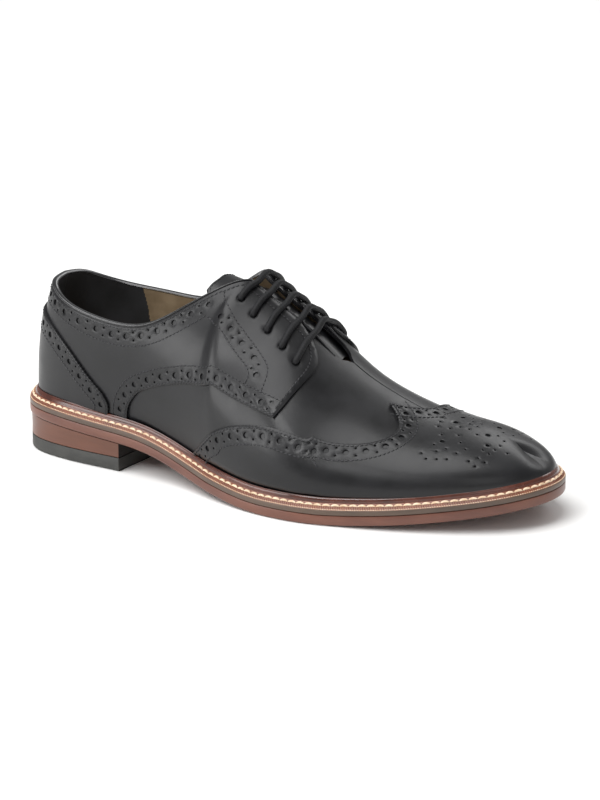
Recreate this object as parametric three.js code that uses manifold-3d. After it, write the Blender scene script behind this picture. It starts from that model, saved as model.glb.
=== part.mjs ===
// A right-foot brogue shoe: open-laced quarters over a full wing cap, on a welted sole.
// Millimetres. The heel's back is at x = 0 and the toe points along +X, the inner side of
// the foot lies towards +Y, and the floor is z = 0. The finished group is centred at the end.

import * as THREE from "three";
import { mergeVertices } from "three/addons/utils/BufferGeometryUtils.js";
import Module from "manifold-3d";

const wasm = await Module();
wasm.setup();

// Driving dimensions: the sole
const soleLength = 306;
const ballWidth = 114;
const seatHeight = 19.5;
const toeSpring = 12.3;
const outsoleThickness = 5;
const treadBevel = 0.8;
const weltHeight = 8.2;
const clearance = 0.3;

// Driving dimensions: the heel
const liftThickness = 7;
const breastAt = 74.8;
const heelInset = 0.8;
const liftBevel = 0.6;

// Driving dimensions: the upper
const upperLength = 306;
const instepHeight = 104;
const throatGap = 14.6;
const throatEnd = 191;
const throatRound = 7;
const innerCollarRise = 2.2;
const featherInset = 5.6;
const heelSetBack = 2.4;
const upperWall = 1.6;
const panelWall = 1.2;
const overlayGap = 0.55;
const insoleThickness = 3;
const tongueWall = 2.4;
const tongueReach = 27;
const tongueClearance = 1.4;

// Driving dimensions: the lacing
const laceDiameter = 3.3;
const eyeletDiameter = 4;
const laceArch = 3;

// Mesh fineness
const rowStep = 0.5;
const throatSteps = 4;
const barSteps = 9;
const barSides = 8;
const shareLines = [0, 0.07, 0.18, 0.31, 0.44, 0.57, 0.69, 0.8, 0.9, 1];

// Turns a list of column names and rows of numbers into a list of named rows.
const table = (names, rows) =>
  rows.map((row) => Object.fromEntries(names.map((name, index) => [name, row[index]])));

// Tread outline from heel back to toe tip. at: share of the sole length. outer, inner: half
// widths as shares of the ball width. seat, spring: height of the underside as shares of the
// seat height and the toe spring; a height below the floor is worn flat on it.
const soleRows = table(["at", "outer", "inner", "seat", "spring"], [
  [0.0, 0.0, 0.0, 1.0, 0],
  [0.012, 0.124, 0.124, 0.99, 0],
  [0.05, 0.232, 0.23, 0.96, 0],
  [0.12, 0.29, 0.288, 0.905, 0],
  [0.2, 0.311, 0.305, 0.82, 0],
  [0.29, 0.328, 0.291, 0.7, 0],
  [0.37, 0.365, 0.273, 0.43, 0],
  [0.435, 0.423, 0.276, 0.21, 0],
  [0.475, 0.461, 0.291, 0.12, 0],
  [0.54, 0.508, 0.34, 0.022, 0],
  [0.61, 0.528, 0.406, -0.01, 0],
  [0.67, 0.512, 0.45, 0, -0.01],
  [0.75, 0.457, 0.473, 0, 0.115],
  [0.82, 0.393, 0.465, 0, 0.3],
  [0.89, 0.307, 0.417, 0, 0.545],
  [0.945, 0.209, 0.339, 0, 0.76],
  [0.985, 0.083, 0.22, 0, 0.94],
  [1.0, -0.067, 0.067, 0, 1.0],
]);

// Upper edge of each rib of the last: the collar, then the facing, then the ridge of the vamp.
// at: share of the upper length. top: share of the instep height. side: half width of the
// collar as a share of the ball width. ridge: sideways lean of the centre line as a share of
// the ball width. lean: inward tilt of the surface at the edge, outer, inner: its outward tilt
// at the welt on each side, in degrees. low, high: fullness of the rib at the welt and at the
// edge, as shares of its chord. Along the throat the ribs are cut short of the centre line.
const ribRows = table(["at", "top", "side", "ridge", "outer", "inner", "lean", "low", "high"], [
  [0.0605, 0.884, 0.0, 0.0, 0, 0, 18, 0.35, 0.35],
  [0.066, 0.877, 0.088, 0.0, 0, 0, 17, 0.35, 0.35],
  [0.085, 0.846, 0.162, 0.0, 1, 1, 15, 0.35, 0.34],
  [0.131, 0.797, 0.226, 0.0, 4, 3, 12, 0.34, 0.33],
  [0.209, 0.757, 0.263, 0.0, 8, 4, 12, 0.33, 0.33],
  [0.291, 0.765, 0.268, 0.0, 10, 2, 17, 0.33, 0.33],
  [0.364, 0.873, 0.222, 0.0, 12, 0, 32, 0.34, 0.34],
  [0.43, 0.989, 0.128, 0.0, 13, 0, 50, 0.36, 0.34],
  [0.464, 0.982, 0.04, 0.004, 14, 1, 76, 0.37, 0.28],
  [0.516, 0.886, 0.0, 0.013, 15, 3, 90, 0.38, 0.26],
  [0.578, 0.756, 0.0, 0.026, 16, 8, 90, 0.38, 0.31],
  [0.644, 0.602, 0.0, 0.039, 17, 11, 90, 0.38, 0.31],
  [0.722, 0.487, 0.0, 0.054, 17, 14, 90, 0.38, 0.323],
  [0.791, 0.418, 0.0, 0.068, 17, 14, 90, 0.37, 0.378],
  [0.85, 0.393, 0.0, 0.075, 15, 8, 90, 0.36, 0.411],
  [0.889, 0.367, 0.0, 0.077, 12, -2, 90, 0.36, 0.437],
  [0.912, 0.345, 0.0, 0.076, 9, -8, 90, 0.37, 0.454],
  [0.918, 0.333, 0.0, 0.074, 2, 2, 90, 0.37, 0.472],
]);

// Welt section, from the outer edge inwards. inset: share of the feather inset. height: share
// of the welt height. The bead stands against the upper.
const weltRows = table(["inset", "height"], [
  [0, 0],
  [0, 0.3],
  [0.06, 0.335],
  [0.5, 0.655],
  [0.54, 0.91],
  [0.65, 0.99],
  [0.76, 0.88],
  [0.92, 0.57],
  [1.6, 0.55],
  [1.6, 0],
]);
const beadLean = 17;
const flangeShare = 0.55;
const flangeInset = 1.6;

// Outlines of the overlays: row along the shoe and share up the rib. Rows past the toe row
// are on the inner side.
const panelTop = 0.985;
const panelFoot = 0.01;
const quarterOutline = table(["row", "share"], [
  [0.14, panelFoot], [4.6, panelFoot], [4.64, 0.19], [4.81, 0.313], [5, 0.39], [5.5, 0.452],
  [6, 0.463], [6.5, 0.455], [7, 0.428], [8, 0.384], [9, 0.391], [9.7, 0.397], [10, 0.52],
  [10.31, 0.76], [10.26, 0.86], [10, 0.94], [9.5, panelTop], [0.14, panelTop],
]);
const wingOuterLine = table(["row", "share"], [
  [6.5, panelFoot], [6.65, 0.084], [7, 0.145], [7.5, 0.182], [8, 0.216], [8.5, 0.265], [9, 0.309],
  [9.5, 0.341], [10.5, 0.379], [11, 0.373], [11.5, 0.398], [12, 0.48], [12.17, 0.542],
  [12.25, 0.65], [12, 0.765], [11.77, 0.825],
]);
const wingInnerLine = table(["row", "share"], [
  [12.25, 0.9], [12.5, 0.973], [12.6, 1], [12.6, 0.93], [12.5, 0.78], [12.25, 0.58],
  [12, 0.48], [11.5, 0.398], [11, 0.373], [10.5, 0.379], [9.5, 0.341], [9, 0.309],
  [8.5, 0.265], [8, 0.216], [7.5, 0.182], [7, 0.145], [6.65, 0.084], [6.5, panelFoot],
]);
const wingRidgePoint = 2;
const counterLine = table(["row", "share"], [
  [4.4, panelFoot], [4.32, 0.215], [3.89, 0.337], [3.58, 0.449], [3.18, 0.588], [2.64, 0.697],
  [1.75, 0.745], [0.7, 0.78],
]);

// Lace eyelets and the tongue's sections.
const eyeletRows = table(["row", "share"], [
  [8.02, 0.845], [8.56, 0.806], [9.02, 0.78], [9.47, 0.753], [9.87, 0.729],
]);
const tongueRows = table(["row", "back", "width"], [
  [10.6, 0, 0.5], [10.35, 0, 0.8], [10.0, 0, 0.95], [9.4, 0, 1], [8.8, 0, 1], [8.35, 0, 0.98],
  [8.35, 0.3, 0.86], [8.35, 0.6, 0.74], [8.35, 0.85, 0.58], [8.35, 1, 0.38],
]);
const tongueFoot = 0.66;
const tongueRise = 12;

// The closed cubic spline through one value for each row of a full turn around the shoe:
// up the outer side from heel to toe and back down the inner side.
const lastRow = soleRows.length - 1;
const turn = 2 * lastRow;
const relaxPasses = 60;
function spline(outer, inner = outer) {
  const values = [...outer, ...inner.slice(1, -1).reverse()];
  const near = (list, index) => list[((index % turn) + turn) % turn];
  let controls = values;
  for (let pass = 0; pass < relaxPasses; pass++) {
    const last = controls;
    controls = values.map((value, i) => (6 * value - near(last, i - 1) - near(last, i + 1)) / 4);
  }
  return (row) => {
    const i = Math.floor(row);
    const t = row - i;
    const a = near(controls, i - 1) * (1 - t) ** 3;
    const b = near(controls, i) * (3 * t ** 3 - 6 * t ** 2 + 4);
    const c = near(controls, i + 1) * (-3 * t ** 3 + 3 * t ** 2 + 3 * t + 1);
    const d = near(controls, i + 2) * t ** 3;
    return (a + b + c + d) / 6;
  };
}
const column = (rows, name, factor = 1) => rows.map((row) => row[name] * factor);
const foldRow = (row) => {
  const wrapped = ((row % turn) + turn) % turn;
  return Math.min(wrapped, turn - wrapped);
};
const isInner = (row) => ((row % turn) + turn) % turn > lastRow;

// Sole outline and underside
const soleAt = spline(column(soleRows, "at", soleLength));
const soleSide = spline(column(soleRows, "outer", -ballWidth), column(soleRows, "inner", ballWidth));
const soleLift = spline(soleRows.map((row) => row.seat * seatHeight + row.spring * toeSpring));

// The row whose place along the shoe is x, by halving.
const halvings = 26;
function rowWhere(along, x) {
  let low = 0;
  let high = lastRow;
  for (let step = 0; step < halvings; step++) {
    const middle = (low + high) / 2;
    if (along(middle) < x) low = middle;
    else high = middle;
  }
  return (low + high) / 2;
}
const underside = (x) => Math.max(0, soleLift(rowWhere(soleAt, x)));

// A point of the tread outline moved inwards, with its inward direction.
const nudge = 0.001;
function outlinePoint(row, inset) {
  const dx = soleAt(row + nudge) - soleAt(row - nudge);
  const dy = soleSide(row + nudge) - soleSide(row - nudge);
  const inward = new THREE.Vector2(-dy, dx).normalize();
  const place = new THREE.Vector2(soleAt(row), soleSide(row)).addScaledVector(inward, inset);
  return { place, inward };
}

// The last: a surface of ribs from the feather line, on the welt, to the upper's open edge.
const flangeTop = outsoleThickness + clearance + flangeShare * weltHeight;
const featherHeight = flangeTop + clearance;
const edgeAt = spline(column(ribRows, "at", upperLength));
const edgeTop = spline(column(ribRows, "top", instepHeight));
const edgeRidge = spline(column(ribRows, "ridge", ballWidth));
const edgeSide = spline(column(ribRows, "side", ballWidth));
const tiltOut = spline(column(ribRows, "outer"), column(ribRows, "inner"));
const tiltIn = spline(column(ribRows, "lean"));
const fullLow = spline(column(ribRows, "low"));
const fullHigh = spline(column(ribRows, "high"));
const radians = THREE.MathUtils.degToRad;

// The feather line stands further in round the heel, where the counter lies over the upper.
const heelFade = { from: 100, over: 60 };
function featherAt(row) {
  const fade = THREE.MathUtils.clamp((heelFade.from - soleAt(row)) / heelFade.over, 0, 1);
  return featherInset + heelSetBack * fade;
}
const collarLow = { at: 66, spread: 26, end: 130, fade: 30 };
const slopeRows = { first: 7, last: lastRow - 0.3, reach: 0.01 };

// Half the collar's width. From the throat's round end on, ribs meet on the centre line.
const roundFrom = throatEnd - throatRound;
function halfWidth(row) {
  const folded = foldRow(row);
  return edgeAt(folded) < roundFrom ? Math.max(0, edgeSide(folded)) : 0;
}

// How far a rib stops short of the centre line, so that the throat is as wide as its gap.
function throatCut(row) {
  const past = THREE.MathUtils.clamp((edgeAt(foldRow(row)) - roundFrom) / throatRound + nudge, 0, 1);
  return Math.max(0, (throatGap / 2) * Math.sqrt(1 - past ** 2) - halfWidth(row));
}

const ribReach = (row, chord) => 1 - throatCut(row) / (3 * fullHigh(foldRow(row)) * chord);

function edgePoint(row) {
  const folded = foldRow(row);
  const x = edgeAt(folded);
  const side = isInner(row) ? 1 : -1;
  const fade = THREE.MathUtils.clamp((collarLow.end - x) / collarLow.fade, 0, 1);
  const rise = innerCollarRise * fade * Math.exp(-(((x - collarLow.at) / collarLow.spread) ** 2));
  const z = edgeTop(folded) + (isInner(row) ? rise : 0);
  return new THREE.Vector3(x, edgeRidge(folded) + side * halfWidth(row), z);
}

function ridgeSlope(row) {
  const { first, last, reach } = slopeRows;
  const near = THREE.MathUtils.clamp(foldRow(row), first, last);
  return (edgeTop(near + reach) - edgeTop(near - reach)) / (edgeAt(near + reach) - edgeAt(near - reach));
}

function lastPoint(row, share) {
  const { place, inward } = outlinePoint(row, featherAt(row));
  const foot = new THREE.Vector3(place.x, place.y, underside(place.x) + featherHeight);
  const edge = edgePoint(row);
  const folded = foldRow(row);
  const out = radians(tiltOut(row));
  const lean = radians(tiltIn(folded));
  const rising = new THREE.Vector3(-inward.x * Math.sin(out), -inward.y * Math.sin(out), Math.cos(out));
  const sloped = Math.cos(lean) + Math.sin(lean) * inward.x * ridgeSlope(row);
  const closing = new THREE.Vector3(inward.x * Math.sin(lean), inward.y * Math.sin(lean), sloped);
  const chord = foot.distanceTo(edge);
  const low = foot.clone().addScaledVector(rising, chord * fullLow(folded));
  const high = edge.clone().addScaledVector(closing.normalize(), -chord * fullHigh(folded));
  return new THREE.CubicBezierCurve3(foot, low, high, edge).getPoint(share * ribReach(row, chord));
}

// The share up a rib where it comes clear of the welt's bead, so that an overlay can start.
const crownShare = Math.max(...column(weltRows, "height"));
const crownHeight = outsoleThickness + clearance + crownShare * weltHeight;
function footShare(row) {
  const folded = foldRow(row);
  const { place } = outlinePoint(row, featherAt(row));
  const foot = new THREE.Vector3(place.x, place.y, underside(place.x) + featherHeight);
  const chord = foot.distanceTo(edgePoint(row));
  const climb = 3 * fullLow(folded) * chord * ribReach(row, chord);
  return (crownHeight + 3 * clearance - featherHeight) / climb;
}

const normalReach = 0.01;
function lastNormal(row, share) {
  const level = THREE.MathUtils.clamp(share, normalReach, 1 - normalReach);
  const along = lastPoint(row + normalReach, level).sub(lastPoint(row - normalReach, level));
  const up = lastPoint(row, level + normalReach).sub(lastPoint(row, level - normalReach));
  return along.cross(up).normalize();
}

// A closed geometry from points and triangles, with equal points merged.
function geometryOf(points, triangles) {
  const geometry = new THREE.BufferGeometry();
  const corners = triangles.flat().flatMap((index) => points[index].toArray());
  geometry.setAttribute("position", new THREE.Float32BufferAttribute(corners, 3));
  const merged = mergeVertices(geometry, 1e-4);
  merged.computeVertexNormals();
  return merged;
}

// Numbers the corners of loose triangles, so that corners at one place share a number.
function indexCorners(corners) {
  const numbers = new Map();
  const points = [];
  const triangles = [];
  for (const triangle of corners) {
    const indices = triangle.map((corner) => {
      const key = corner.point.toArray().map((value) => Math.round(value * 1e3)).join(" ");
      if (!numbers.has(key)) {
        numbers.set(key, points.length);
        points.push({ point: corner.point, normal: new THREE.Vector3() });
      }
      points[numbers.get(key)].normal.add(corner.normal);
      return numbers.get(key);
    });
    if (new Set(indices).size === 3) triangles.push(indices);
  }
  points.forEach((entry) => entry.normal.normalize());
  return { points, triangles };
}

// A sheet of triangles with normals becomes a closed shell between two offsets.
function shell(corners, inside, outside) {
  const { points, triangles } = indexCorners(corners);
  const count = points.length;
  const outer = points.map(({ point, normal }) => point.clone().addScaledVector(normal, outside));
  const inner = points.map(({ point, normal }) => point.clone().addScaledVector(normal, inside));
  const edges = new Map();
  for (const [a, b, c] of triangles) {
    for (const [from, to] of [[a, b], [b, c], [c, a]]) edges.set(`${from} ${to}`, [from, to]);
  }
  const faces = triangles.flatMap(([a, b, c]) => [[a, b, c], [a + count, c + count, b + count]]);
  for (const [from, to] of edges.values()) {
    if (edges.has(`${to} ${from}`)) continue;
    faces.push([to, from, from + count], [to, from + count, to + count]);
  }
  return geometryOf([...outer, ...inner], faces);
}

// Corners that several triangles share are worked out once. An overlay's lowest corners are
// lifted to where the rib comes clear of the bead.
const knownCorners = new Map();
const overlayCorner = ([row, share]) => lastCorner([row, Math.max(share, footShare(row))]);
function lastCorner([row, share]) {
  const key = `${row} ${share}`;
  if (!knownCorners.has(key)) {
    knownCorners.set(key, { point: lastPoint(row, share), normal: lastNormal(row, share) });
  }
  return knownCorners.get(key);
}

// Columns of one side of the upper: even rows, and closer ones where the throat rounds off.
const halfColumns = [];
for (let row = 0; row <= lastRow + nudge; row += rowStep) halfColumns.push(row);
for (let step = 1; step <= throatSteps; step++) {
  const angle = (step / throatSteps) * (Math.PI / 2);
  halfColumns.push(rowWhere(edgeAt, roundFrom + throatRound * Math.sin(angle)));
}
halfColumns.sort((a, b) => a - b);
const innerColumns = halfColumns.slice(1, -1).reverse().map((row) => turn - row);
const allColumns = [...halfColumns, ...innerColumns];

function upperGeometry() {
  const corners = [];
  allColumns.forEach((row, index) => {
    const next = allColumns[(index + 1) % allColumns.length];
    for (let level = 0; level + 1 < shareLines.length; level++) {
      const [low, high] = [shareLines[level], shareLines[level + 1]];
      const [a, b, c, d] = [[row, low], [next, low], [next, high], [row, high]].map(lastCorner);
      corners.push([a, b, c], [a, c, d]);
    }
  });
  return shell(corners, -upperWall, 0);
}

// An overlay is drawn on the last as an outline of rows and shares. It is cut into strips at
// the upper's own columns and at its corners, and each strip at the upper's own levels, so
// that its facets lie along the upper's.
const cornerReach = 0.12;
function stripRows(outline) {
  const own = [...new Set(outline.map(([row]) => row))].sort((a, b) => a - b);
  const columns = [...halfColumns, ...halfColumns.map((row) => turn - row)];
  const grid = [...columns, ...columns.map((row) => row - turn)].filter((row) =>
    row > own[0] && row < own[own.length - 1] && own.every((at) => Math.abs(at - row) > cornerReach));
  return [...new Set([...own, ...grid])].sort((a, b) => a - b);
}

function panelCorners(outline) {
  const sides = outline.map((point, index) => [point, outline[(index + 1) % outline.length]]);
  const shareOn = ([from, to], row) => {
    if (row === from[0]) return from[1];
    if (row === to[0]) return to[1];
    return from[1] + ((row - from[0]) / (to[0] - from[0])) * (to[1] - from[1]);
  };
  const levels = (row, low, high) => {
    const corners = outline.filter((point) => point[0] === row).map((point) => point[1]);
    const between = [...shareLines, ...corners].filter((share) => share > low && share < high);
    return [...new Set([low, ...between, high])].sort((a, b) => a - b);
  };
  const corners = [];
  const rows = stripRows(outline);
  for (let strip = 0; strip + 1 < rows.length; strip++) {
    const [left, right] = [rows[strip], rows[strip + 1]];
    const middle = (left + right) / 2;
    const spans = sides.filter(([from, to]) => (from[0] - middle) * (to[0] - middle) < 0);
    spans.sort((a, b) => shareOn(a, middle) - shareOn(b, middle));
    for (let span = 0; span < spans.length; span += 2) {
      const [low, high] = [spans[span], spans[span + 1]];
      const near = levels(left, shareOn(low, left), shareOn(high, left));
      const far = levels(right, shareOn(low, right), shareOn(high, right));
      let [i, j] = [0, 0];
      while (i + 1 < near.length || j + 1 < far.length) {
        const climbNear = j + 1 === far.length || (i + 1 < near.length && near[i + 1] < far[j + 1]);
        const third = climbNear ? [left, near[i + 1]] : [right, far[j + 1]];
        corners.push([[left, near[i]], [right, far[j]], third].map(overlayCorner));
        if (climbNear) i++;
        else j++;
      }
    }
  }
  return corners;
}
const panelGeometry = (outline, inside, outside) => shell(panelCorners(outline), inside, outside);
const pairs = (rows) => rows.map(({ row, share }) => [row, share]);
const mirrored = (rows) => rows.map(({ row, share }) => [turn - row, share]);

// Rings of the sole and heel
function ringOf(rows, inset, height) {
  return rows.map((row) => {
    const { place } = outlinePoint(row, typeof inset === "function" ? inset(row) : inset);
    return new THREE.Vector3(place.x, place.y, height(place.x, row));
  });
}

// Stacks rings from bottom to top. pairOf gives the ring's point opposite to each point, so
// that flat ends are strips across; without it the last ring joins the first.
function stack(rings, pairOf) {
  const size = rings[0].length;
  const points = rings.flat();
  const faces = [];
  const quad = (a, b, c, d) => faces.push([a, b, c], [a, c, d]);
  const joins = pairOf ? rings.length - 1 : rings.length;
  for (let level = 0; level < joins; level++) {
    const lower = level * size;
    const upper = ((level + 1) % rings.length) * size;
    for (let i = 0; i < size; i++) {
      const next = (i + 1) % size;
      quad(lower + i, lower + next, upper + next, upper + i);
    }
  }
  if (pairOf) {
    const top = (rings.length - 1) * size;
    for (let i = 0; i < Math.floor(size / 2); i++) {
      const [near, far] = [i, pairOf(i)];
      const [nextNear, nextFar] = [i + 1, pairOf(i + 1)];
      quad(near, far, nextFar, nextNear);
      quad(top + near, top + nextNear, top + nextFar, top + far);
    }
  }
  const corners = faces.map((face) => face.map((i) => ({ point: points[i], normal: new THREE.Vector3() })));
  const sheet = indexCorners(corners);
  return geometryOf(sheet.points.map((entry) => entry.point), sheet.triangles);
}
const acrossSole = (index) => (allColumns.length - index) % allColumns.length;

function outsoleGeometry() {
  const level = (height) => (x) => underside(x) + height;
  return stack([
    ringOf(allColumns, treadBevel, level(0)),
    ringOf(allColumns, 0, level(treadBevel)),
    ringOf(allColumns, 0, level(outsoleThickness)),
  ], acrossSole);
}

function weltGeometry() {
  const lift = outsoleThickness + clearance;
  const steepest = Math.tan(radians(beadLean));
  return stack(weltRows.map(({ inset, height }) => {
    const above = Math.max(0, height * weltHeight + lift - featherHeight);
    const follow = (row) => inset * featherInset + above * (steepest - Math.tan(radians(tiltOut(row))));
    return ringOf(allColumns, follow, (x) => underside(x) + lift + height * weltHeight);
  }));
}

function insoleGeometry() {
  const bedInset = (row) => flangeInset * featherInset + 2 * clearance + featherAt(row) - featherInset;
  const leanIn = (row) => insoleThickness * Math.tan(radians(Math.max(0, -tiltOut(row))));
  const plateInset = (row) => featherAt(row) + upperWall + 2 * clearance + leanIn(row);
  const level = (height) => (x) => underside(x) + height;
  return stack([
    ringOf(allColumns, bedInset, level(outsoleThickness + clearance)),
    ringOf(allColumns, bedInset, level(featherHeight)),
    ringOf(allColumns, plateInset, level(featherHeight)),
    ringOf(allColumns, plateInset, level(featherHeight + insoleThickness)),
  ], acrossSole);
}

// Heel pieces follow the tread outline round the back and end at the flat breast.
const heelSteps = 22;
const breastRow = rowWhere(soleAt, breastAt);
const heelRows = [];
for (let step = -heelSteps; step <= heelSteps; step++) {
  heelRows.push(breastRow * Math.sin((step / heelSteps) * (Math.PI / 2)));
}
const acrossHeel = (index) => heelRows.length - 1 - index;

function heelRing(inset, height) {
  const ring = ringOf(heelRows, inset, height);
  for (const point of [ring[0], ring[ring.length - 1]]) point.x = breastAt - (inset - heelInset);
  return ring;
}

function topLiftGeometry() {
  return stack([
    heelRing(heelInset + liftBevel, () => 0),
    heelRing(heelInset, () => liftBevel),
    heelRing(heelInset, () => liftThickness),
  ], acrossHeel);
}

function heelBlockGeometry() {
  return stack([
    heelRing(heelInset, () => liftThickness + clearance),
    heelRing(heelInset, (x) => underside(x) - clearance),
  ], acrossHeel);
}

// The tongue lies under the facings, bridges the throat and rises a little past the top.
function tongueGeometry() {
  const depth = upperWall + tongueClearance;
  const direction = new THREE.Vector3(-Math.cos(radians(tongueRise)), 0, Math.sin(radians(tongueRise)));
  const across = [-1, -0.8, -0.6, -0.4, -0.2, 0, 0.2, 0.4, 0.6, 0.8, 1];
  const sections = tongueRows.map(({ row, back, width }) => {
    const lowest = 1 - (1 - tongueFoot) * width;
    const shares = [lowest, (lowest + 1) / 2, 1];
    const under = (place, share) => lastPoint(place, share).addScaledVector(lastNormal(place, share), -depth);
    const outer = shares.map((share) => under(row, share));
    const inner = shares.map((share) => under(turn - row, share)).reverse();
    const crown = outer[2].clone().lerp(inner[0], 0.5);
    crown.z += outer[2].distanceTo(inner[0]) * 0.1;
    const arc = new THREE.CatmullRomCurve3([...outer, crown, ...inner]);
    return across.map((place) => arc.getPoint((place + 1) / 2).addScaledVector(direction, back * tongueReach));
  });
  const normalAt = (i, j) => {
    const along = sections[Math.min(i + 1, sections.length - 1)][j].clone();
    along.sub(sections[Math.max(i - 1, 0)][j]);
    const over = sections[i][Math.min(j + 1, across.length - 1)].clone();
    over.sub(sections[i][Math.max(j - 1, 0)]);
    return over.cross(along).normalize();
  };
  const corner = (i, j) => ({ point: sections[i][j], normal: normalAt(i, j) });
  const corners = [];
  for (let i = 0; i + 1 < sections.length; i++) {
    for (let j = 0; j + 1 < across.length; j++) {
      const [a, b, c, d] = [corner(i, j), corner(i, j + 1), corner(i + 1, j + 1), corner(i + 1, j)];
      corners.push([a, b, c], [a, c, d]);
    }
  }
  return shell(corners, -tongueWall, 0);
}

// Solids for cutting
function solidOf(geometry) {
  const merged = geometry.clone();
  merged.deleteAttribute("normal");
  merged.deleteAttribute("uv");
  const joined = mergeVertices(merged, 1e-4);
  return new wasm.Manifold(new wasm.Mesh({
    numProp: 3,
    vertProperties: Float32Array.from(joined.attributes.position.array),
    triVerts: Uint32Array.from(joined.index.array),
  }));
}

function geometryFrom(solid) {
  const mesh = solid.getMesh();
  const geometry = new THREE.BufferGeometry();
  geometry.setAttribute("position", new THREE.BufferAttribute(mesh.vertProperties, 3));
  geometry.setIndex(new THREE.BufferAttribute(mesh.triVerts, 1));
  return geometry;
}

// Punches the eyelets of one side, or of both, through a geometry.
const punchLength = 12;
const punchSides = 8;
const punchTurn = 35;
function punched(geometry, eyelets) {
  let solid = solidOf(geometry);
  for (const [row, share] of eyelets) {
    const punch = new THREE.CylinderGeometry(eyeletDiameter / 2, eyeletDiameter / 2, punchLength, punchSides);
    punch.rotateY(radians(punchTurn));
    punch.applyQuaternion(new THREE.Quaternion().setFromUnitVectors(
      new THREE.Vector3(0, 1, 0), lastNormal(row, share)));
    punch.translate(...lastPoint(row, share).toArray());
    solid = solid.subtract(solidOf(punch));
  }
  return geometryFrom(solid);
}
const outerEyelets = pairs(eyeletRows);
const innerEyelets = mirrored(eyeletRows);

// A lace bar: from eyelet to eyelet over the facings, arched across the throat.
const panelOutside = overlayGap + panelWall;
function laceBarGeometry({ row, share }) {
  const height = panelOutside + clearance + laceDiameter / 2;
  const over = (place, level) => lastPoint(place, level).addScaledVector(lastNormal(place, level), height);
  const levels = [share, (share + 1) / 2, 1];
  const outer = levels.map((level) => over(row, level));
  const inner = levels.map((level) => over(turn - row, level)).reverse();
  const crown = outer[2].clone().lerp(inner[0], 0.5);
  crown.z += laceArch;
  const path = new THREE.CatmullRomCurve3([...outer, crown, ...inner]);
  const round = new THREE.Shape().absarc(0, 0, laceDiameter / 2, 0, 2 * Math.PI, false);
  const bar = new THREE.ExtrudeGeometry(round, { steps: barSteps, curveSegments: barSides / 2, extrudePath: path });
  bar.deleteAttribute("normal");
  bar.deleteAttribute("uv");
  return mergeVertices(bar, 1e-4);
}

// Outlines of the overlays, joined from their lines
function wingOutline() {
  const ridge = wingInnerLine.slice(0, wingRidgePoint + 1);
  const rest = wingInnerLine.slice(wingRidgePoint + 1);
  return [...pairs(wingOuterLine), ...pairs(ridge), ...mirrored([...ridge.slice(-1), ...rest])];
}
function counterOutline() {
  const outer = pairs(counterLine);
  return [...outer, ...outer.map(([row, share]) => [-row, share]).reverse()];
}

// The assembly
const shoe = new THREE.Group();
function add(name, geometry, color, roughness) {
  const mesh = new THREE.Mesh(geometry, new THREE.MeshStandardMaterial({ color, roughness, metalness: 0 }));
  mesh.name = name;
  shoe.add(mesh);
}
const blackCalf = { color: 0x1d1d1f, roughness: 0.35 };
const outerPanel = [overlayGap, panelOutside];
const counterPanel = [panelOutside + clearance, panelOutside + clearance + panelWall];

add("top_lift", topLiftGeometry(), 0x3c3c3a, 0.7);
add("heel_block", heelBlockGeometry(), 0x84564a, 0.45);
add("outsole", outsoleGeometry(), 0x7d5a50, 0.5);
add("welt", weltGeometry(), 0x5a3226, 0.35);
add("insole", insoleGeometry(), 0x85735a, 0.7);
add("upper", punched(upperGeometry(), [...outerEyelets, ...innerEyelets]), blackCalf.color, blackCalf.roughness);
add("tongue", tongueGeometry(), blackCalf.color, blackCalf.roughness);
add("quarter_outer", punched(panelGeometry(pairs(quarterOutline), ...outerPanel), outerEyelets),
  blackCalf.color, blackCalf.roughness);
add("quarter_inner", punched(panelGeometry(mirrored(quarterOutline), ...outerPanel), innerEyelets),
  blackCalf.color, blackCalf.roughness);
add("wing_cap", panelGeometry(wingOutline(), ...outerPanel), blackCalf.color, blackCalf.roughness);
add("counter", panelGeometry(counterOutline(), ...counterPanel), blackCalf.color, blackCalf.roughness);
eyeletRows.forEach((eyelet, index) => {
  add(`lace_bar_${index + 1}`, laceBarGeometry(eyelet), 0x151515, 0.8);
});

// Centre the shoe on its tread
const treadRows = allColumns.map((row) => outlinePoint(row, 0).place);
const treadBox = new THREE.Box2().setFromPoints(treadRows);
const centre = treadBox.getCenter(new THREE.Vector2());
shoe.position.set(-centre.x, -centre.y, 0);

export default shoe;
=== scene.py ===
import math

import bmesh
import bpy
import numpy as np
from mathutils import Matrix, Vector
from mathutils.geometry import delaunay_2d_cdt


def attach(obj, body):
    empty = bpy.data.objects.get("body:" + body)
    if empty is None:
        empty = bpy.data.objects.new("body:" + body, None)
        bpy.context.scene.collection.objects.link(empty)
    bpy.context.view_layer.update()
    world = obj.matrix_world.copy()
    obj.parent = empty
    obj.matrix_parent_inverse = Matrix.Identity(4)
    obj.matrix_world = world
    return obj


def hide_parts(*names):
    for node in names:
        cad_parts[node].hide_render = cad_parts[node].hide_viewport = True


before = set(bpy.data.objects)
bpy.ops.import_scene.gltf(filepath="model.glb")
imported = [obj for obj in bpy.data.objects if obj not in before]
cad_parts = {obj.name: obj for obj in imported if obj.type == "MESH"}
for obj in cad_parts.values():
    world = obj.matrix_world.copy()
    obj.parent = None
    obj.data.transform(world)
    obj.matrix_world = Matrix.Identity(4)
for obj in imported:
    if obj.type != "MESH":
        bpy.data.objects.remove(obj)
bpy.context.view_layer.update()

# Outsole
# A tread of firm leather under the whole foot, cut to the outline of the last, with its edge
# stained red-brown, waxed and burnished. It is cemented and stitched to the welt above it.
SOLE_LENGTH = 306.0
BALL_WIDTH = 114.0
SEAT_HEIGHT = 19.5
TOE_SPRING = 12.3
OUTSOLE_THICKNESS = 5.0
CLEARANCE = 0.3
CENTRE = np.array([153.0, -3.053, 0.0])
LAST_ROW = 17
TURN = 2 * LAST_ROW
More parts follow.
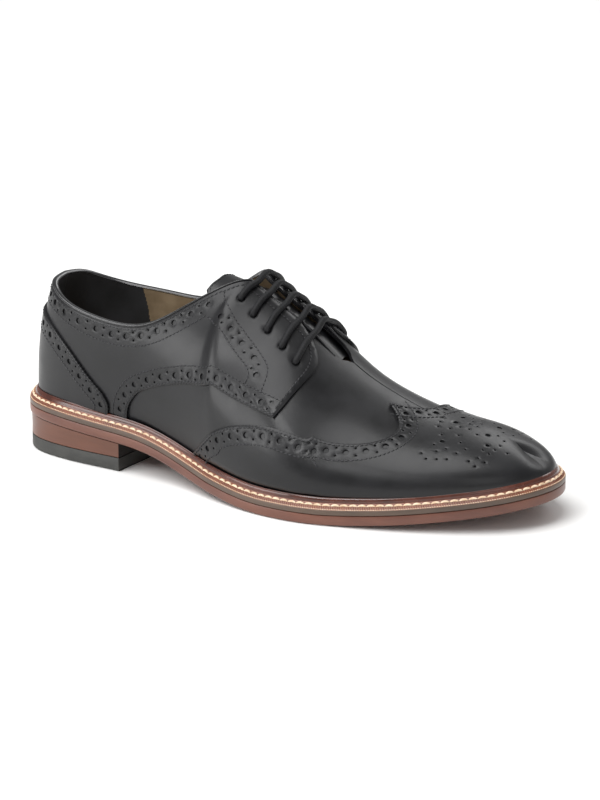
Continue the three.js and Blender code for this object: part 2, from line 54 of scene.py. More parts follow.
# at, outer, inner, seat, spring: shares of the length, ball width, seat height and toe spring
SOLE_ROWS = np.array([
    [0.0, 0.0, 0.0, 1.0, 0], [0.012, 0.124, 0.124, 0.99, 0], [0.05, 0.232, 0.23, 0.96, 0],
    [0.12, 0.29, 0.288, 0.905, 0], [0.2, 0.311, 0.305, 0.82, 0], [0.29, 0.328, 0.291, 0.7, 0],
    [0.37, 0.365, 0.273, 0.43, 0], [0.435, 0.423, 0.276, 0.21, 0], [0.475, 0.461, 0.291, 0.12, 0],
    [0.54, 0.508, 0.34, 0.022, 0], [0.61, 0.528, 0.406, -0.01, 0], [0.67, 0.512, 0.45, 0, -0.01],
    [0.75, 0.457, 0.473, 0, 0.115], [0.82, 0.393, 0.465, 0, 0.3], [0.89, 0.307, 0.417, 0, 0.545],
    [0.945, 0.209, 0.339, 0, 0.76], [0.985, 0.083, 0.22, 0, 0.94], [1.0, -0.067, 0.067, 0, 1.0],
])


def turn_curve(outer, inner=None):
    """The closed cubic spline through one value per row, out along one side and back."""
    inner = outer if inner is None else inner
    values = np.concatenate([outer, inner[-2:0:-1]])
    controls = values.copy()
    for _ in range(60):
        controls = (6 * values - np.roll(controls, 1) - np.roll(controls, -1)) / 4

    def at(row):
        row = np.asarray(row, float)
        i = np.floor(row).astype(int)
        t = row - i
        a, b, c, d = (controls[(i + k) % TURN] for k in (-1, 0, 1, 2))
        return (a * (1 - t) ** 3 + b * (3 * t**3 - 6 * t**2 + 4)
                + c * (-3 * t**3 + 3 * t**2 + 3 * t + 1) + d * t**3) / 6

    return at


sole_at = turn_curve(SOLE_ROWS[:, 0] * SOLE_LENGTH)
sole_side = turn_curve(-SOLE_ROWS[:, 1] * BALL_WIDTH, SOLE_ROWS[:, 2] * BALL_WIDTH)
sole_lift = turn_curve(SOLE_ROWS[:, 3] * SEAT_HEIGHT + SOLE_ROWS[:, 4] * TOE_SPRING)
fine_rows = np.linspace(0, LAST_ROW, 3401)
fine_at, fine_lift = sole_at(fine_rows), np.maximum(0, sole_lift(fine_rows))


def underside(x):
    return np.interp(x, fine_at, fine_lift)


def outline(row, inset):
    """A point of the tread's outline moved inwards, and its inward direction."""
    row = np.asarray(row, float)
    dx = sole_at(row + 1e-3) - sole_at(row - 1e-3)
    dy = sole_side(row + 1e-3) - sole_side(row - 1e-3)
    length = np.hypot(dx, dy)
    nx, ny = -dy / length, dx / length
    return sole_at(row) + nx * inset, sole_side(row) + ny * inset, nx, ny


def linear(code):
    """An sRGB hex colour as linear red, green, blue and alpha."""
    parts = [int(code[i : i + 2], 16) / 255 for i in (1, 3, 5)]
    return [p / 12.92 if p <= 0.04045 else ((p + 0.055) / 1.055) ** 2.4 for p in parts] + [1.0]


def add_node(material, kind, inputs=(), **settings):
    """Adds a node with its settings. Each input is a value, or an output socket to link."""
    tree = material.node_tree
    made = tree.nodes.new("ShaderNode" + kind)
    for name, value in settings.items():
        setattr(made, name, value)
    for name, value in dict(inputs).items():
        if isinstance(value, bpy.types.NodeSocket):
            tree.links.new(value, made.inputs[name])
        else:
            made.inputs[name].default_value = value
    return made


def surface(name, colours, roughness, grain_mm, bump_mm, patch_mm=18.0, stretch=(1, 1, 1),
            coat=0.0, coat_roughness=0.2, rough_spread=0.08, grain="noise",
            shine=0.5):
    """A finish: two colours in soft patches, a roughness that varies, and a fine raised grain."""
    material = bpy.data.materials.new(name)
    material.use_nodes = True
    material.node_tree.nodes.clear()
    place = add_node(material, "TexCoord")
    spread = add_node(material, "Mapping", {"Vector": place.outputs["Object"], "Scale": stretch})
    patches = add_node(material, "TexNoise", {
        "Vector": spread.outputs["Vector"], "Scale": 1000 / patch_mm, "Detail": 4.0,
        "Roughness": 0.6})
    tint = add_node(material, "ValToRGB", {"Fac": patches.outputs["Fac"]})
    tint.color_ramp.elements[0].position = 0.35
    tint.color_ramp.elements[1].position = 0.65
    tint.color_ramp.elements[0].color = linear(colours[0])
    tint.color_ramp.elements[1].color = linear(colours[1])
    rough = add_node(material, "MapRange", {
        "Value": patches.outputs["Fac"], "From Min": 0.3, "From Max": 0.7,
        "To Min": roughness - rough_spread, "To Max": roughness + rough_spread})
    if grain == "pores":
        fine = add_node(material, "TexVoronoi", {
            "Vector": spread.outputs["Vector"], "Scale": 1000 / grain_mm},
            feature="DISTANCE_TO_EDGE")
        height = fine.outputs["Distance"]
    else:
        fine = add_node(material, "TexNoise", {
            "Vector": spread.outputs["Vector"], "Scale": 1000 / grain_mm, "Detail": 3.0})
        height = fine.outputs["Fac"]
    bump = add_node(material, "Bump", {
        "Height": height, "Strength": 0.5, "Distance": bump_mm / 1000})
    shader = add_node(material, "BsdfPrincipled", {
        "Base Color": tint.outputs["Color"], "Roughness": rough.outputs["Result"],
        "Normal": bump.outputs["Normal"], "Metallic": 0.0, "IOR": 1.5, "Specular IOR Level": shine,
        "Coat Weight": coat, "Coat Roughness": coat_roughness})
    output = add_node(material, "OutputMaterial")
    material.node_tree.links.new(shader.outputs["BSDF"], output.inputs["Surface"])
    return material


def piece(name, points, faces, materials, nodes=(), indices=None, sharp=50, weld=0.0):
    """Makes a piece from points in millimetres, turns its faces outwards, and rides it."""
    mesh = bpy.data.meshes.new(name)
    mesh.from_pydata(((np.asarray(points, float) - CENTRE) / 1000).tolist(), [],
                     [[int(i) for i in face] for face in faces])
    for material in materials:
        mesh.materials.append(material)
    if indices is not None:
        mesh.polygons.foreach_set("material_index", np.asarray(indices, int))
    cleaned = bmesh.new()
    cleaned.from_mesh(mesh)
    if weld:
        bmesh.ops.remove_doubles(cleaned, verts=cleaned.verts, dist=weld / 1000)
    bmesh.ops.recalc_face_normals(cleaned, faces=cleaned.faces)
    cleaned.to_mesh(mesh)
    cleaned.free()
    mesh.shade_smooth()
    mesh.set_sharp_from_angle(angle=math.radians(sharp))
    made = bpy.data.objects.new(name, mesh)
    bpy.context.scene.collection.objects.link(made)
    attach(made, "root")
    if nodes:
        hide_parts(*nodes)
    return made


def grid_faces(levels, count, closed=True, loop=False, start=0):
    """Quads between stacked rings of count points. loop also joins the last ring to the first."""
    faces = []
    for level in range(levels if loop else levels - 1):
        low, high = start + level * count, start + (level + 1) % levels * count
        for i in range(count if closed else count - 1):
            j = (i + 1) % count
            faces.append((low + i, low + j, high + j, high + i))
    return faces


def strips_across(start, count, pair):
    """Closes a ring by strips between each point and the one across from it."""
    faces = []
    for i in range(count // 2):
        corners = [start + i, start + pair(i), start + pair(i + 1), start + i + 1]
        corners = list(dict.fromkeys(corners))
        if len(corners) > 2:
            faces.append(corners)
    return faces


RING_ROWS = np.arange(34 * 18) / 18
RING = len(RING_ROWS)


def sole_ring(inset, height, rows=RING_ROWS):
    x, y, _, _ = outline(rows, inset)
    return np.stack([x, y, underside(x) + height], -1)


outsole_profile = [(6.0, 0.0), (1.3, 0.0), (0.75, 0.06), (0.3, 0.3), (0.06, 0.7), (0.0, 1.2),
                   (0.0, 4.6), (0.12, 4.92), (0.35, 5.0), (6.0, 5.0)]
outsole_points = np.concatenate([sole_ring(*p) for p in outsole_profile])
across_sole = lambda i: (RING - i) % RING
outsole_faces = grid_faces(len(outsole_profile), RING)
outsole_faces += strips_across(0, RING, across_sole)
outsole_faces += strips_across((len(outsole_profile) - 1) * RING, RING, across_sole)
# Vegetable-tanned leather, edge-dressed: a red-brown stain gone a little darker in patches
# along the edge, under a thin wax that gives a soft shine.
edge_leather = surface("stained leather edge, burnished", ("#5a3429", "#724839"), 0.36, 0.5, 0.03,
                       patch_mm=26, stretch=(0.6, 0.6, 3.0), coat=0.12, coat_roughness=0.25)
piece("outsole_leather", outsole_points, outsole_faces, [edge_leather], ["outsole"])

# Heel
# A block of stacked lifts under the seat, glued and nailed, trimmed flush and stained like the
# tread's edge. Its front, the breast, is blacked. A hard rubber top lift takes the wear.
LIFT_THICKNESS = 7.0
BREAST_AT = 74.8
HEEL_INSET = 0.8
breast_row = float(np.interp(BREAST_AT, fine_at, fine_rows))
heel_rows = breast_row * np.sin(np.linspace(-1, 1, 121) * math.pi / 2)
HEEL = len(heel_rows)


def heel_ring(inset, height):
    x, y, _, _ = outline(heel_rows, inset)
    x = x.copy()
    x[0] = x[-1] = BREAST_AT - (inset - HEEL_INSET)
    z = height(x) if callable(height) else np.full(HEEL, float(height))
    return np.stack([x, y, z], -1)


def heel_piece(name, rings, materials, node):
    faces = grid_faces(len(rings), HEEL)
    breast = [i % HEEL == HEEL - 1 for i in range(len(faces))]
    across = lambda i: HEEL - 1 - i
    ends = strips_across(0, HEEL, across) + strips_across((len(rings) - 1) * HEEL, HEEL, across)
    indices = [1 if b and len(materials) > 1 else 0 for b in breast] + [0] * len(ends)
    piece(name, np.concatenate(rings), faces + ends, materials, [node], indices, sharp=40)


block_top = lambda x: underside(x) - CLEARANCE
lift_joint = LIFT_THICKNESS + CLEARANCE
block_rings = [heel_ring(HEEL_INSET + 0.25, lift_joint), heel_ring(HEEL_INSET, lift_joint + 0.3)]
for share in (0.25, 0.5, 0.75):
    block_rings.append(heel_ring(HEEL_INSET + 0.12 * math.sin(math.pi * share),
                                 lambda x, s=share: lift_joint + s * (block_top(x) - lift_joint)))
block_rings.append(heel_ring(HEEL_INSET, block_top))
# The breast is inked, not burnished: flat black, with the leather's tooth left in it.
black_stain = surface("leather breast, black ink", ("#141210", "#1f1a17"), 0.5, 0.4, 0.03)
# Harder leather than the tread, built up in layers: the stain lies a shade lighter and redder.
heel_leather = surface("stacked leather heel, burnished", ("#54301f", "#663c2a"), 0.36, 0.6, 0.02,
                       patch_mm=30, stretch=(0.5, 0.5, 4.0), coat=0.12, coat_roughness=0.22)
heel_piece("heel_block_leather", block_rings, [heel_leather, black_stain],
           "heel_block")
# Nitrile rubber, moulded and then sanded with the heel: matt, with a fine even tooth.
lift_rubber = surface("nitrile rubber, sanded edge", ("#30302e", "#42423f"), 0.62, 0.35, 0.03,
                      patch_mm=9)
lift_rings = [heel_ring(HEEL_INSET + 1.0, 0.0), heel_ring(HEEL_INSET + 0.4, 0.12),
              heel_ring(HEEL_INSET + 0.08, 0.5), heel_ring(HEEL_INSET, 1.0),
              heel_ring(HEEL_INSET, LIFT_THICKNESS - 0.25),
              heel_ring(HEEL_INSET + 0.2, LIFT_THICKNESS)]
heel_piece("top_lift_rubber", lift_rings, [lift_rubber], "top_lift")

# Welt
# A leather strip all round the shoe that ties the upper to the tread. Its raised storm bead
# stands against the upper; outside it a thick waxed thread runs in a sloping channel that the
# fudge wheel has ribbed.
WELT_HEIGHT = 8.2
FEATHER_INSET = 5.6
HEEL_SET_BACK = 2.4
BEAD_LEAN = 17.0
FLANGE_TOP = OUTSOLE_THICKNESS + CLEARANCE + 0.55 * WELT_HEIGHT
FEATHER_HEIGHT = FLANGE_TOP + CLEARANCE
RIB_OUTER = np.array([0, 0, 1, 4, 8, 10, 12, 13, 14, 15, 16, 17, 17, 17, 15, 12, 9, 2], float)
RIB_INNER = np.array([0, 0, 1, 3, 4, 2, 0, 0, 1, 3, 8, 11, 14, 14, 8, -2, -8, 2], float)
tilt_out = turn_curve(RIB_OUTER, RIB_INNER)
WELT_LIFT = OUTSOLE_THICKNESS + CLEARANCE
# The channel's slope, from its foot to its head, and how steeply it rises
SLOPE = [(0.3, 2.74), (2.72, 5.34)]
SLOPE_RISE = 1.07
BEAD = [(2.8, 5.5), (2.76, 6.1), (2.8, 6.7), (2.95, 7.3), (3.2, 7.8), (3.55, 8.1), (3.9, 8.0),
        (4.18, 7.6), (4.36, 6.9), (4.6, 5.9), (5.1, 4.9)]
welt_profile = [(5.2, 0.0), (0.2, 0.0), (0.0, 0.2), (0.0, 1.2), (0.0, 2.3), (0.1, 2.6)]
welt_profile += [(0.3 + (2.42 * k / 6), 2.74 + 2.6 * k / 6) for k in range(7)] + BEAD
welt_profile += [(7.0, 4.6), (8.96, 4.5), (8.96, 0.0)]


def welt_point(row, inset, height):
    above = np.maximum(0, height + WELT_LIFT - FEATHER_HEIGHT)
    steep = math.tan(math.radians(BEAD_LEAN)) - np.tan(np.radians(tilt_out(row)))
    x, y, nx, ny = outline(row, inset + above * steep)
    return np.stack([x, y, underside(x) + WELT_LIFT + height], -1), nx, ny


welt_points = np.concatenate([welt_point(RING_ROWS, np.full(RING, float(i)), h)[0]
                              for i, h in welt_profile])
welt_faces = grid_faces(len(welt_profile), RING, loop=True)
zones = []
for inset, height in welt_profile:
    zones += [0 if height < 2.5 else 1 if height < 5.4 and inset < 3 else 2] * RING
# The same leather as the tread's edge. The trimmed side took a grey-brown wax, the channel is
# the plain red-brown stain, and the bead was rubbed to a deep, bright brown.
welt_side = surface("welt leather edge, grey-brown wax", ("#4b3d33", "#5f4d40"), 0.42, 0.4, 0.03,
                    patch_mm=20, stretch=(0.6, 0.6, 2.0), coat=0.15)
welt_face = surface("welt leather, red-brown stain", ("#70402c", "#8a5238"), 0.38, 0.3, 0.03,
                    patch_mm=12, coat=0.3)
bead_gloss = surface("welt leather bead, rubbed bright", ("#3f1c12", "#5a2a1b"), 0.24, 0.5, 0.015,
                     patch_mm=14, coat=0.35, coat_roughness=0.12)
piece("welt_leather", welt_points, welt_faces, [welt_side, welt_face, bead_gloss],
      ["welt"], zones, sharp=42)



def unit(vectors):
    return vectors / np.linalg.norm(vectors, axis=-1)[..., None]


def lengths(points):
    """The running length along a line at each of its points."""
    return np.concatenate([[0], np.cumsum(np.linalg.norm(np.diff(points, axis=0), axis=1))])


# The line of the welt's thread, finely divided, and its running length.
thread_rows = np.linspace(0, TURN, 6801)
ring_length = lengths(np.stack(outline(thread_rows, 1.6)[:2], -1))


def rows_apart(pitch):
    """Rows a whole number of equal steps apart round the welt, about pitch millimetres each."""
    count = round(ring_length[-1] / pitch)
    return np.interp(np.arange(count) * ring_length[-1] / count, ring_length, thread_rows)


def slope_frames(row, share, raise_mm=0.0):
    """Places on the welt's slope, with the directions along it, up it and off it."""
    inset = SLOPE[0][0] + share * (SLOPE[1][0] - SLOPE[0][0])
    height = SLOPE[0][1] + share * (SLOPE[1][1] - SLOPE[0][1])
    place, nx, ny = welt_point(row, np.full(len(row), inset), height)
    ahead, _, _ = welt_point(row + 2e-3, np.full(len(row), inset), height)
    along = unit(ahead - place)
    rise = np.stack([nx, ny, np.full(len(row), SLOPE_RISE)], -1)
    rise = unit(rise - along * (rise * along).sum(1)[:, None])
    off = np.cross(rise, along)
    off *= np.sign(off[:, 2])[:, None]
    return place + off * raise_mm, along, rise, off


def capsules(centres, along, side, off, length, radius, bow=0.0, flat=1.0, rings=7, sides=8):
    """Short rounded threads at the centres: bow bends them sideways, flat squashes their height."""
    t = np.linspace(-1, 1, rings)
    girth = np.sqrt(np.maximum(0.02, 1 - np.abs(t) ** 3.2))
    phi = np.arange(sides) * 2 * math.pi / sides
    points, faces = [], []
    for k in range(rings):
        middle = centres + along * (t[k] * length / 2) + side * (bow * (1 - t[k] ** 2))
        for p in phi:
            outwards = side * math.cos(p) + off * (flat * math.sin(p))
            points.append(middle + outwards * radius * girth[k])
    points = np.stack(points, 1)
    size = rings * sides
    one = grid_faces(rings, sides) + [tuple(range(sides)), tuple(range(size - sides, size))]
    for n in range(len(centres)):
        faces += [tuple(i + n * size for i in face) for face in one]
    return points.reshape(-1, 3), faces


# Linen thread, six cords rolled with wax: pale straw, with a dull shine on the top of each turn.
welt_thread = surface("waxed linen thread, natural", ("#d6b592", "#f3dcc0"), 0.5, 0.5, 0.06,
                      patch_mm=2.5, coat=0.1)
stitch_rows = rows_apart(4.5)
place, along, rise, off = slope_frames(stitch_rows, 0.6, 0.12)
points, faces = capsules(place, along, rise, off, 4.4, 0.62, bow=0.55, flat=0.85, rings=9)
piece("welt_stitches", points, faces, [welt_thread], sharp=80)
rib_rows = rows_apart(1.15)
place, along, rise, off = slope_frames(rib_rows, 0.34, 0.02)
points, faces = capsules(place, rise, along, off, 1.7, 0.3, flat=0.8, rings=5, sides=6)
piece("fudge_ribs", points, faces, [welt_face], sharp=80)
place, along, rise, off = slope_frames(rib_rows, 0.06, 0.05)
points, faces = capsules(place, along, rise, off, 0.75, 0.26, rings=5, sides=6)
piece("welt_lower_thread", points, faces, [welt_thread], sharp=80)

# Last surface
# The upper's leather was pulled over a last. Its form is a fan of ribs from the welt to the
# open edge or the ridge; every panel, seam and hole is placed by row along it and share up it.
# The ribs are cut short at the throat alone (rows above 6), so the collar's back runs level.
UPPER_LENGTH = 306.0
INSTEP_HEIGHT = 104.0
THROAT_GAP = 14.6
THROAT_END = 191.0
THROAT_ROUND = 7.0
COLLAR_RISE = 2.2
UPPER_WALL = 1.6
OVERLAY_GAP = 0.55
PANEL_WALL = 1.2
# at, top, side, ridge, lean, low, high
RIB_ROWS = np.array([
    [0.0605, 0.884, 0.0, 0.0, 18, 0.35, 0.35], [0.066, 0.877, 0.088, 0.0, 17, 0.35, 0.35],
    [0.085, 0.846, 0.162, 0.0, 15, 0.35, 0.34], [0.131, 0.797, 0.226, 0.0, 12, 0.34, 0.33],
    [0.209, 0.757, 0.263, 0.0, 12, 0.33, 0.33], [0.291, 0.765, 0.268, 0.0, 17, 0.33, 0.33],
    [0.364, 0.873, 0.222, 0.0, 32, 0.34, 0.34], [0.43, 0.989, 0.128, 0.0, 50, 0.36, 0.34],
    [0.464, 0.982, 0.04, 0.004, 76, 0.37, 0.28], [0.516, 0.886, 0.0, 0.013, 90, 0.38, 0.26],
    [0.578, 0.756, 0.0, 0.026, 90, 0.38, 0.31], [0.644, 0.602, 0.0, 0.039, 90, 0.38, 0.31],
    [0.722, 0.487, 0.0, 0.054, 90, 0.38, 0.323], [0.791, 0.418, 0.0, 0.068, 90, 0.37, 0.378],
    [0.85, 0.393, 0.0, 0.075, 90, 0.36, 0.411], [0.889, 0.367, 0.0, 0.077, 90, 0.36, 0.437],
    [0.912, 0.345, 0.0, 0.076, 90, 0.37, 0.454], [0.918, 0.333, 0.0, 0.074, 90, 0.37, 0.472],
])
edge_at = turn_curve(RIB_ROWS[:, 0] * UPPER_LENGTH)
edge_top = turn_curve(RIB_ROWS[:, 1] * INSTEP_HEIGHT)
edge_side = turn_curve(RIB_ROWS[:, 2] * BALL_WIDTH)
edge_ridge = turn_curve(RIB_ROWS[:, 3] * BALL_WIDTH)
tilt_in = turn_curve(RIB_ROWS[:, 4])
full_low = turn_curve(RIB_ROWS[:, 5])
full_high = turn_curve(RIB_ROWS[:, 6])


def last_point(row, share):
    row, share = np.broadcast_arrays(np.asarray(row, float), np.asarray(share, float))
    wrapped = np.mod(row, TURN)
    folded = np.minimum(wrapped, TURN - wrapped)
    inner = np.where(wrapped > LAST_ROW, 1, 0)
    feather = FEATHER_INSET + HEEL_SET_BACK * np.clip((100 - sole_at(row)) / 60, 0, 1)
    x, y, nx, ny = outline(row, feather)
    foot = np.stack([x, y, underside(x) + FEATHER_HEIGHT], -1)
    at = edge_at(folded)
    half = np.where(at < THROAT_END - THROAT_ROUND, np.maximum(0, edge_side(folded)), 0)
    past = np.clip((at - THROAT_END + THROAT_ROUND) / THROAT_ROUND + 1e-3, 0, 1)
    cut = np.where(folded > 6, np.maximum(0, THROAT_GAP / 2 * np.sqrt(1 - past**2) - half), 0)
    rise = COLLAR_RISE * np.clip((130 - at) / 30, 0, 1) * np.exp(-(((at - 66) / 26) ** 2))
    edge = np.stack([at, edge_ridge(folded) + (2 * inner - 1) * half,
                     edge_top(folded) + inner * rise], -1)
    near = np.clip(folded, 7, LAST_ROW - 0.3)
    climb = edge_top(near + 0.01) - edge_top(near - 0.01)
    slope = climb / (edge_at(near + 0.01) - edge_at(near - 0.01))
    out, lean = np.radians(tilt_out(row)), np.radians(tilt_in(folded))
    rising = np.stack([-nx * np.sin(out), -ny * np.sin(out), np.cos(out)], -1)
    closing = np.stack([nx * np.sin(lean), ny * np.sin(lean),
                        np.cos(lean) + np.sin(lean) * nx * slope], -1)
    closing = unit(closing)
    chord = np.linalg.norm(edge - foot, axis=-1)[..., None]
    low = foot + rising * chord * full_low(folded)[..., None]
    high_share = full_high(folded)[..., None]
    high = edge - closing * chord * high_share
    t = share[..., None] * (1 - cut[..., None] / (3 * high_share * chord))
    return (foot * (1 - t) ** 3 + 3 * low * t * (1 - t) ** 2 + 3 * high * t**2 * (1 - t)
            + edge * t**3)


def last_normal(row, share):
    level = np.clip(share, 0.006, 0.994)
    along = last_point(row + 0.006, level) - last_point(row - 0.006, level)
    up = last_point(row, level + 0.006) - last_point(row, level - 0.006)
    return unit(np.cross(along, up))


def on_last(row, share, off=0.0):
    return last_point(row, share) + last_normal(row, share) * np.asarray(off)[..., None]


# Vamp and lining
# One hollow boot of calf leather stretched over the toe and sides, lined at the back with
# black and further forward with taupe leather, open at the collar, the throat and underneath.
# Box calf, finished with a cream polish: near black, with a satin shine and fine pores.
calf = surface("box calf, cream polished", ("#0c0c0e", "#131316"), 0.36, 0.42, 0.05, patch_mm=16,
               coat=0.1, coat_roughness=0.16, rough_spread=0.07, grain="pores", shine=0.38)
# Unfinished calf, dyed through: a dull black that takes the light evenly.
heel_lining = surface("calf lining, matt black", ("#171717", "#242426"), 0.62, 0.5, 0.05,
                      patch_mm=20)
# Goat in its own colour: warm grey-brown, with open pores and a faint sheen.
quarter_lining = surface("goat lining, undyed taupe", ("#76644c", "#8f7c62"), 0.55, 0.55, 0.05,
                         patch_mm=16, grain="pores")
lining_seam = np.arange(2.9, 4.5, 0.02)
BODY_ROWS = np.concatenate([np.arange(0, TURN, 0.1), lining_seam, TURN - lining_seam])
BODY_ROWS = np.unique(np.round(BODY_ROWS, 4))
BODY_SHARES = np.concatenate([np.linspace(0, 0.94, 48), [0.955, 0.97, 0.98, 0.99, 1.0]])
columns = len(BODY_ROWS)
layers = [(s, 0.0) for s in BODY_SHARES] + [(s, -UPPER_WALL) for s in BODY_SHARES[::-1]]
body_points = np.concatenate([on_last(BODY_ROWS, np.full(columns, s), np.full(columns, o))
                              for s, o in layers])
body_faces = grid_faces(len(layers), columns, loop=True)
kinds = []
for face in body_faces:
    level = face[0] // columns
    if level < len(BODY_SHARES):
        kinds.append(0)
        continue
    x, _, z = body_points[list(face)].mean(0)
    kinds.append(1 if x + 0.17 * (z - 92) < 48 else 2)
piece("vamp_and_lining", body_points, body_faces, [calf, heel_lining, quarter_lining],
      ["upper"], kinds, weld=0.004)

# Insole and sock
# A shoulder-leather board over a cork bed closes the shoe underneath; a full sock of taupe
# leather is pasted on it and shows through the collar.
# Thin sheepskin, plated: the lining's taupe, a little flatter and more even.
sock = surface("sock leather, taupe", ("#6d5b45", "#857156"), 0.58, 0.6, 0.05, patch_mm=25,
               grain="pores")
lean_in = 3.0 * np.tan(np.radians(np.maximum(0, -tilt_out(RING_ROWS))))
back_off = HEEL_SET_BACK * np.clip((100 - sole_at(RING_ROWS)) / 60, 0, 1)
bed = 1.6 * FEATHER_INSET + 0.6 + back_off
plate = FEATHER_INSET + back_off + UPPER_WALL + 0.6 + lean_in
insole_levels = [(bed, WELT_LIFT), (bed, FEATHER_HEIGHT), (plate, FEATHER_HEIGHT),
                 (plate, FEATHER_HEIGHT + 2.7), (plate + 0.3, FEATHER_HEIGHT + 3.0),
                 (plate + 6, FEATHER_HEIGHT + 3.0)]
insole_points = np.concatenate([sole_ring(i, h) for i, h in insole_levels])
insole_faces = grid_faces(len(insole_levels), RING) + strips_across(0, RING, across_sole)
insole_faces += strips_across((len(insole_levels) - 1) * RING, RING, across_sole)
piece("insole_and_sock", insole_points, insole_faces, [sock], ["insole"])

# Quarters, wing cap and heel counter
# Panels of the same calf, 1.2 mm thick, cut out flat, their edges gimped and their borders
# punched through with the brogue's holes, then laid over the vamp and stitched down.
ROW_MM = 18.0
SHARE_MM = 80.0
RIM_DROP = 0.4
RIM_WIDTH = 0.5
HOLE_DROP = 0.1
HOLE_DEPTH = 0.8
GIMP_PITCH = 2.0
GIMP_DEPTH = 0.3
BIG_HOLE = 3.0
SMALL_HOLE = 1.15
EYELET = 4.0
PAIR_SPREAD = 2.0
HOLE_MARGIN = 0.25
RIM_STEP = 0.55
UNDERLAP = 0.25
SAME = 1e-6
PANEL_TOP = OVERLAY_GAP + PANEL_WALL


def flat_plain(spots):
    return np.asarray(spots, float) * [ROW_MM, SHARE_MM]


def lift_plain(flat):
    flat = np.asarray(flat, float)
    return flat[:, 0] / ROW_MM, flat[:, 1] / SHARE_MM


def flat_folded(spots):
    """Both sides of the toe side by side: the ridge runs along the middle, and the toe tip's
    rib is the far edge."""
    spots = np.asarray(spots, float)
    inner = spots[:, 0] > LAST_ROW
    row = np.where(inner, TURN - spots[:, 0], spots[:, 0])
    return np.stack([row * ROW_MM, np.where(inner, 1, -1) * (1 - spots[:, 1]) * SHARE_MM], -1)


def lift_folded(flat):
    flat = np.asarray(flat, float)
    row = np.minimum(flat[:, 0] / ROW_MM, LAST_ROW)
    return np.where(flat[:, 1] > 0, TURN - row, row), 1 - np.abs(flat[:, 1]) / SHARE_MM


def axes_at(flat, lift):
    """How a step in the flat pattern moves on the last, with the surface's normal there."""
    flat = np.asarray(flat, float)
    step = 0.05
    base = last_point(*lift(flat))
    across, upward = (
        (last_point(*lift(flat + way)) - last_point(*lift(flat - way))) / (2 * step)
        for way in ([step, 0], [0, step]))
    return base, across, upward, unit(np.cross(across, upward))


def moved(flat, lift, vectors):
    """Flat places moved by real millimetres along vectors on the last."""
    _, a, b, _ = axes_at(flat, lift)
    aa, ab, bb = (a * a).sum(1), (a * b).sum(1), (b * b).sum(1)
    va, vb = (vectors * a).sum(1), (vectors * b).sum(1)
    det = aa * bb - ab * ab
    return flat + np.stack([(va * bb - vb * ab) / det, (vb * aa - va * ab) / det], -1)


def at_lengths(wanted, run, points):
    return np.stack([np.interp(wanted, run, column) for column in points.T], -1)


def spaced(flat, lift, pitch, closed=False):
    """Points along a flat line, evenly spaced in real millimetres."""
    line = np.concatenate([flat, flat[:1]]) if closed else np.asarray(flat, float)
    dense = []
    for a, b in zip(line[:-1], line[1:]):
        n = max(2, int(np.linalg.norm(b - a) / 0.8))
        dense.append(a + (b - a) * np.linspace(0, 1, n, endpoint=False)[:, None])
    dense = np.concatenate(dense + [line[-1:]])
    run = lengths(last_point(*lift(dense)))
    count = max(2, round(run[-1] / pitch))
    wanted = np.linspace(0, run[-1], count + 1)
    if closed:
        wanted = wanted[:-1]
    return at_lengths(wanted, run, dense)


def smooth_line(spots, rounds=3):
    """Rounds the corners of a line by cutting them, keeping its ends."""
    line = np.asarray(spots, float)
    for _ in range(rounds):
        q = line[:-1] * 0.75 + line[1:] * 0.25
        r = line[:-1] * 0.25 + line[1:] * 0.75
        line = np.concatenate([line[:1], np.stack([q, r], 1).reshape(-1, 2), line[-1:]])
    return line


def sideways(flat, lift, closed=False):
    """Unit vectors on the last, at right angles to a line, to its left."""
    real, _, _, normal = axes_at(flat, lift)
    if closed:
        along = np.roll(real, -1, 0) - np.roll(real, 1, 0)
    else:
        along = np.gradient(real, axis=0)
    side = np.cross(normal, along)
    return side / np.maximum(1e-9, np.linalg.norm(side, axis=1))[:, None]


def beside(flat, lift, distance):
    """A line moved sideways by real millimetres, without the loops that corners give."""
    line = moved(flat, lift, sideways(flat, lift) * distance)
    real_base, real = last_point(*lift(flat)), last_point(*lift(line))
    apart = np.linalg.norm(real[:, None] - real_base[None], axis=2).min(1)
    return line[apart > abs(distance) * 0.93]


def inside(flat, polygon):
    x, y = flat[:, 0][:, None], flat[:, 1][:, None]
    ax, ay = polygon[:, 0][None], polygon[:, 1][None]
    bx, by = np.roll(polygon[:, 0], -1)[None], np.roll(polygon[:, 1], -1)[None]
    meets = (bx - ax) * (y - ay) / np.where(by == ay, 1e-12, by - ay) + ax
    crossed = ((ay > y) != (by > y)) & (x < meets)
    return crossed.sum(1) % 2 == 1


